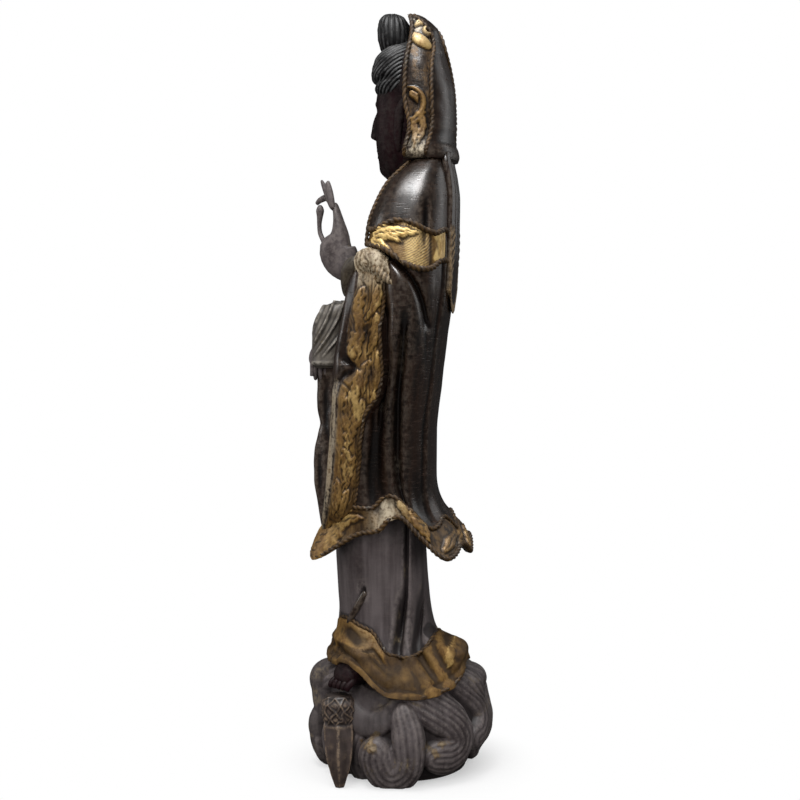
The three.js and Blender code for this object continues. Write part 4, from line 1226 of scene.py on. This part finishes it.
class Nodes:
    """Short ways to add and link nodes in one tree."""

    def __init__(self, tree):
        self.tree = tree

    def add(self, kind, **values):
        node = self.tree.nodes.new(kind)
        inputs = values.pop("inputs", {})
        for key, value in values.items():
            setattr(node, key, value)
        for key, value in inputs.items():
            self.feed(node.inputs[key], value)
        return node

    def feed(self, socket, value):
        if isinstance(value, bpy.types.NodeSocket):
            self.tree.links.new(value, socket)
        else:
            socket.default_value = value

    def math(self, operation, a, b, clamp=False):
        inputs = {0: a, 1: b}
        return self.add("ShaderNodeMath", operation=operation, use_clamp=clamp, inputs=inputs).outputs[0]

    def times(self, a, b):
        return self.math("MULTIPLY", a, b)

    def plus(self, a, b, clamp=False):
        return self.math("ADD", a, b, clamp)

    def blend(self, share, a, b):
        inputs = {"Factor": share, 6: a, 7: b}
        return self.add("ShaderNodeMix", data_type="RGBA", inputs=inputs).outputs[2]

    def band(self, value, low, high):
        inputs = {"Value": value, "From Min": low, "From Max": high}
        node = self.add("ShaderNodeMapRange", interpolation_type="SMOOTHSTEP", inputs=inputs)
        return node.outputs["Result"]

    def grain(self, stretch, scale, detail, rough):
        place = self.add("ShaderNodeTexCoord").outputs["Object"]
        mapping = self.add("ShaderNodeMapping", inputs={"Vector": place, "Scale": stretch})
        values = {"Vector": mapping.outputs[0], "Scale": scale, "Detail": detail, "Roughness": rough}
        return self.add("ShaderNodeTexNoise", inputs=values).outputs["Fac"]


def group(name, inputs, outputs):
    tree = bpy.data.node_groups.new(name, "ShaderNodeTree")
    for label, kind, value in inputs:
        socket = tree.interface.new_socket(label, in_out="INPUT", socket_type="NodeSocket" + kind)
        socket.default_value = value
    for label, kind in outputs:
        tree.interface.new_socket(label, in_out="OUTPUT", socket_type="NodeSocket" + kind)
    nodes = Nodes(tree)
    return tree, nodes, nodes.add("NodeGroupInput").outputs, nodes.add("NodeGroupOutput")


def wood_grain():
    """Two tones of wood or lacquer in long upright streaks, with crossing hairline scratches."""
    tree, n, given, out = group(
        "wood_grain",
        [("Dark", "Color", (0, 0, 0, 1)), ("Light", "Color", (1, 1, 1, 1)), ("Scratches", "Float", 0.5)],
        [("Color", "Color"), ("Height", "Float")],
    )
    streaks = n.grain((1, 1, 0.07), 160, 6, 0.6)
    patches = n.grain((1, 1, 0.6), 28, 3, 0.5)
    tone = n.plus(n.times(streaks, 0.65), n.times(patches, 0.55))
    color = n.blend(n.band(tone, 0.42, 0.78), given["Dark"], given["Light"])
    hairs = n.band(n.grain((0.12, 0.12, 1), 950, 3, 0.5), 0.52, 0.74)
    hairs = n.times(hairs, given["Scratches"])
    rubbed = n.blend(0.5, given["Light"], (0.3, 0.2, 0.16, 1))
    n.feed(out.inputs["Color"], n.blend(n.times(hairs, 0.35), color, rubbed))
    n.feed(out.inputs["Height"], n.math("SUBTRACT", n.times(streaks, 0.6), hairs))
    return tree


def gilding():
    """Worn gold leaf: where it is, its colour with painted shade in hollows, and its bumps."""
    tree, n, given, out = group(
        "gilding",
        [("Gilt", "Float", 0.0), ("Pale", "Float", 0.0), ("Hollow", "Float", 0.0)],
        [("Mask", "Float"), ("Color", "Color"), ("Metal", "Float"), ("Height", "Float")],
    )
    flecks = n.grain((1, 1, 1), 420, 5, 0.65)
    strokes = n.grain((1, 1, 0.35), 150, 5, 0.6)
    wearing = n.plus(n.times(flecks, 0.45), n.times(strokes, 0.55))
    cover = n.plus(n.times(given["Gilt"], 0.9), n.times(wearing, 0.8))
    mask = n.times(n.band(cover, 0.52, 0.66), n.band(given["Gilt"], 0.01, 0.08))
    ground = n.blend(n.band(strokes, 0.35, 0.65), (0.03, 0.015, 0.0055, 1), (0.1, 0.055, 0.018, 1))
    ochre = n.blend(n.band(wearing, 0.38, 0.6), (0.115, 0.056, 0.014, 1), (0.235, 0.135, 0.038, 1))
    bright = n.blend(n.band(wearing, 0.36, 0.56), (0.42, 0.25, 0.07, 1), (0.8, 0.57, 0.22, 1))
    color = n.blend(n.band(given["Gilt"], 0.3, 0.7), ground, ochre)
    color = n.blend(n.band(given["Gilt"], 0.78, 0.96), color, bright)
    paled = n.blend(n.times(given["Pale"], n.band(flecks, 0.3, 0.55)), color, (0.55, 0.47, 0.34, 1))
    # Painted shade: the gold darkens to a dark brown in hollows.
    n.feed(out.inputs["Color"], n.blend(n.times(given["Hollow"], 0.85), paled, (0.018, 0.01, 0.005, 1)))
    n.feed(out.inputs["Mask"], mask)
    metal = n.math("SUBTRACT", 0.3, n.times(given["Pale"], 0.28))
    n.feed(out.inputs["Metal"], n.times(mask, metal))
    n.feed(out.inputs["Height"], n.times(wearing, mask))
    return tree


def age_and_shade():
    """Rubbed edges, and dust and painted shade in hollows, as masks."""
    tree, n, given, out = group(
        "age_and_shade",
        [("Edge", "Float", 0.0), ("Hollow", "Float", 0.0)],
        [("Rubbed", "Float"), ("Dust", "Float"), ("Shade", "Float")],
    )
    breakup = n.grain((1, 1, 1), 260, 5, 0.7)
    patches = n.grain((1, 1, 1), 34, 3, 0.5)
    n.feed(out.inputs["Rubbed"], n.times(given["Edge"], n.band(breakup, 0.38, 0.62)))
    settled = n.times(n.band(breakup, 0.4, 0.62), n.band(patches, 0.52, 0.66))
    n.feed(out.inputs["Dust"], n.times(given["Hollow"], settled))
    # Painted shade: how strongly hollows are darkened.
    n.feed(out.inputs["Shade"], n.times(given["Hollow"], 0.8))
    return tree


def make_finish(groups, name, dark, light, rubbed, dust, roughness, gloss, scratches, gilded=True):
    """One finish of the carving: wood or lacquer, aged, with painted shade in its hollows and gilding
    where the masks say.
    """
    material = bpy.data.materials.new(name)
    material.use_nodes = True
    material.node_tree.nodes.clear()
    n = Nodes(material.node_tree)
    mask = {m: n.add("ShaderNodeAttribute", attribute_name=m).outputs["Fac"] for m in MASKS}
    tones = {"Dark": (*dark, 1), "Light": (*light, 1), "Scratches": scratches}
    grain = n.add("ShaderNodeGroup", node_tree=groups["grain"], inputs=tones)
    shape = {"Edge": mask["edge"], "Hollow": mask["hollow"]}
    worn = n.add("ShaderNodeGroup", node_tree=groups["age_and_shade"], inputs=shape)
    color = n.blend(n.times(worn.outputs["Rubbed"], 0.55), grain.outputs["Color"], (*rubbed, 1))
    # Painted shade: hollows darken towards a third of the dark tone, from the aging group's Shade output.
    color = n.blend(worn.outputs["Shade"], color, tuple(0.3 * part for part in dark) + (1,))
    color = n.blend(worn.outputs["Dust"], color, (*dust, 1))
    rough = n.plus(n.times(grain.outputs["Height"], 0.22), roughness)
    rough = n.plus(rough, n.times(worn.outputs["Dust"], 0.3), True)
    shader = n.add("ShaderNodeBsdfPrincipled", inputs={"Specular IOR Level": gloss})
    bump_height = n.times(grain.outputs["Height"], 0.5)
    if gilded:
        leaf_masks = {"Gilt": mask["gilt"], "Pale": mask["pale"], "Hollow": mask["hollow"]}
        gold = n.add("ShaderNodeGroup", node_tree=groups["gilding"], inputs=leaf_masks)
        color = n.blend(gold.outputs["Mask"], color, gold.outputs["Color"])
        n.feed(shader.inputs["Metallic"], gold.outputs["Metal"])
        rough = n.plus(rough, n.times(gold.outputs["Mask"], 0.2), True)
        bump_height = n.plus(bump_height, gold.outputs["Height"])
    n.feed(shader.inputs["Base Color"], color)
    n.feed(shader.inputs["Roughness"], rough)
    bump = n.add("ShaderNodeBump", inputs={"Height": bump_height, "Strength": 0.35, "Distance": 0.0006})
    n.feed(shader.inputs["Normal"], bump.outputs[0])
    n.feed(n.add("ShaderNodeOutputMaterial").inputs["Surface"], shader.outputs[0])
    return material


# Studio


def studio():
    scene = bpy.context.scene
    scene.view_settings.view_transform = "Standard"
    world = bpy.data.worlds.new("studio")
    scene.world = world
    world.use_nodes = True
    n = Nodes(world.node_tree)
    world.node_tree.nodes.clear()
    path = n.add("ShaderNodeLightPath").outputs
    strength = n.plus(n.times(path["Is Camera Ray"], 0.97), 0.03)
    strength = n.plus(strength, n.times(path["Is Diffuse Ray"], 0.2))
    back = n.add("ShaderNodeBackground", inputs={"Color": (1, 1, 1, 1), "Strength": strength})
    n.feed(n.add("ShaderNodeOutputWorld").inputs["Surface"], back.outputs[0])
    floor = bpy.data.meshes.new("floor")
    corners, radius, below = 64, 6, -0.0005
    turns = [i * TAU / corners for i in range(corners)]
    rim = [(radius * math.cos(turn), radius * math.sin(turn), below) for turn in turns]
    floor.from_pydata(rim, [], [list(range(corners))])
    floor.materials.append(pale_floor())
    ground = bpy.data.objects.new("floor", floor)
    scene.collection.objects.link(ground)
    lamp("top_light", (0.5, -0.3, 1.9), (0.7, 0.5), 15)
    lamp("shoulder_gloss", (0.6, 0.25, 1.9), (0.8, 0.8), 62).visible_diffuse = False
    lamp("left_light", (0.0, -1.7, 0.9), (0.6, 0.9), 8)
    lamp("right_rim_light", (-1.0, 1.2, 0.8), (0.5, 0.9), 2.5)
    lamp("front_fill", (1.8, -0.5, 0.9), (1.2, 1.2), 24).visible_glossy = False
    lamp("rear_fill", (1.3, 1.3, 0.7), (1.0, 1.0), 14).visible_glossy = False


def pale_floor():
    """A pale floor that fades into the white backdrop away from the figure."""
    material = bpy.data.materials.new("pale_floor")
    material.use_nodes = True
    material.node_tree.nodes.clear()
    n = Nodes(material.node_tree)
    near = n.add("ShaderNodeBsdfPrincipled", inputs={"Base Color": (0.9, 0.9, 0.9, 1), "Roughness": 0.9})
    far = n.add("ShaderNodeEmission", inputs={"Color": (1, 1, 1, 1)})
    dim = n.add("ShaderNodeBsdfDiffuse", inputs={"Color": (0.12, 0.12, 0.12, 1)})
    place = n.add("ShaderNodeTexCoord").outputs["Object"]
    away = n.add("ShaderNodeVectorMath", operation="LENGTH", inputs={0: place}).outputs["Value"]
    fade = {0: n.band(away, 0.0, 0.12), 1: near.outputs[0], 2: far.outputs[0]}
    both = n.add("ShaderNodeMixShader", inputs=fade)
    seen = n.add("ShaderNodeLightPath").outputs["Is Camera Ray"]
    whole = n.add("ShaderNodeMixShader", inputs={0: seen, 1: dim.outputs[0], 2: both.outputs[0]})
    n.feed(n.add("ShaderNodeOutputMaterial").inputs["Surface"], whole.outputs[0])
    return material


def lamp(name, place, size, power):
    data = bpy.data.lights.new(name, "AREA")
    data.shape = "RECTANGLE"
    data.size, data.size_y = size
    data.energy = power
    light = bpy.data.objects.new(name, data)
    light.location = place
    figure_middle = Vector((0, 0, 0.3))
    light.rotation_euler = (figure_middle - Vector(place)).to_track_quat("-Z", "Y").to_euler()
    light.visible_camera = False
    bpy.context.scene.collection.objects.link(light)
    return light


def photo_camera():
    """Level with the figure's chest, to its left and a little behind."""
    data = bpy.data.cameras.new("photo_camera")
    sensor, picture_widths = 36, 1425.7 / 800
    data.sensor_width = sensor
    data.lens = picture_widths * sensor
    data.shift_y = -0.03
    camera = bpy.data.objects.new("photo_camera", data)
    bearing, dip = math.radians(97), 0.0462
    distance, aside, height = 1.15, 0.0008, 0.3678
    camera.location = (distance * math.sin(bearing), -distance * math.cos(bearing) - aside, height)
    ahead = Vector((-math.sin(bearing), math.cos(bearing), -math.tan(dip)))
    camera.rotation_euler = ahead.to_track_quat("-Z", "Y").to_euler()
    bpy.context.scene.collection.objects.link(camera)
    bpy.context.scene.camera = camera


photo_camera()
studio()
groups = {"grain": wood_grain(), "gilding": gilding(), "age_and_shade": age_and_shade()}
lacquer = make_finish(
    groups, "worn_lacquer", (0.003, 0.0014, 0.0008), (0.019, 0.0078, 0.0036), (0.11, 0.085, 0.065),
    (0.03, 0.022, 0.014), 0.29, 0.5, 0.55)
dry_wood = make_finish(
    groups, "dry_dark_wood", (0.036, 0.0275, 0.0275), (0.1, 0.083, 0.083), (0.16, 0.135, 0.125),
    (0.24, 0.18, 0.1), 0.55, 0.3, 0.2)
black_hair = make_finish(
    groups, "black_hair", (0.0018, 0.0017, 0.0018), (0.006, 0.0055, 0.006), (0.12, 0.12, 0.12),
    (0.004, 0.004, 0.004), 0.45, 0.22, 0.2, False)
rubbed_rope = make_finish(
    groups, "rubbed_rope", (0.014, 0.0095, 0.006), (0.07, 0.048, 0.028), (0.6, 0.51, 0.38),
    (0.02, 0.013, 0.008), 0.45, 0.4, 0.1)
rock = make_finish(
    groups, "red_brown_rock", (0.02, 0.0135, 0.0115), (0.055, 0.039, 0.034), (0.24, 0.17, 0.11),
    (0.07, 0.05, 0.03), 0.45, 0.4, 0.2)
dark_face = make_finish(
    groups, "dark_face", (0.0022, 0.001, 0.0012), (0.012, 0.0035, 0.0048), (0.025, 0.02, 0.018),
    (0.002, 0.0015, 0.0015), 0.5, 0.08, 0.2, False)
dusty_cloth = make_finish(
    groups, "dusty_cloth", (0.05, 0.042, 0.036), (0.16, 0.14, 0.115), (0.42, 0.38, 0.32),
    (0.1, 0.08, 0.05), 0.5, 0.35, 0.2)

figure_pieces = [
    robe(lacquer), robe_ropes(rubbed_rope),
    near_sleeve(lacquer), far_sleeve(lacquer), sleeve_ropes(rubbed_rope),
    shawl(lacquer), shawl_ropes(rubbed_rope),
    head(dark_face), hair(black_hair), bun(black_hair), ears(dark_face),
    hood(lacquer), hood_ropes(rubbed_rope), veil_tail(lacquer),
    hand("left_hand", LEFT_HAND, SIDEWAYS, dry_wood),
    hand("right_hand", RIGHT_HAND, FRONT_TO_BACK, dry_wood),
    far_cuff(dusty_cloth), near_cuff(rubbed_rope),
    skirt(dry_wood), skirt_ropes(rubbed_rope), hanging_roll(lacquer), left_foot(dark_face),
]
base_pieces = [clouds(dry_wood), pillar(rock)]
for piece in figure_pieces:
    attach(piece, "root")
    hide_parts("figure")
for piece in base_pieces:
    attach(piece, "root")
    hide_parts("cloud_base")
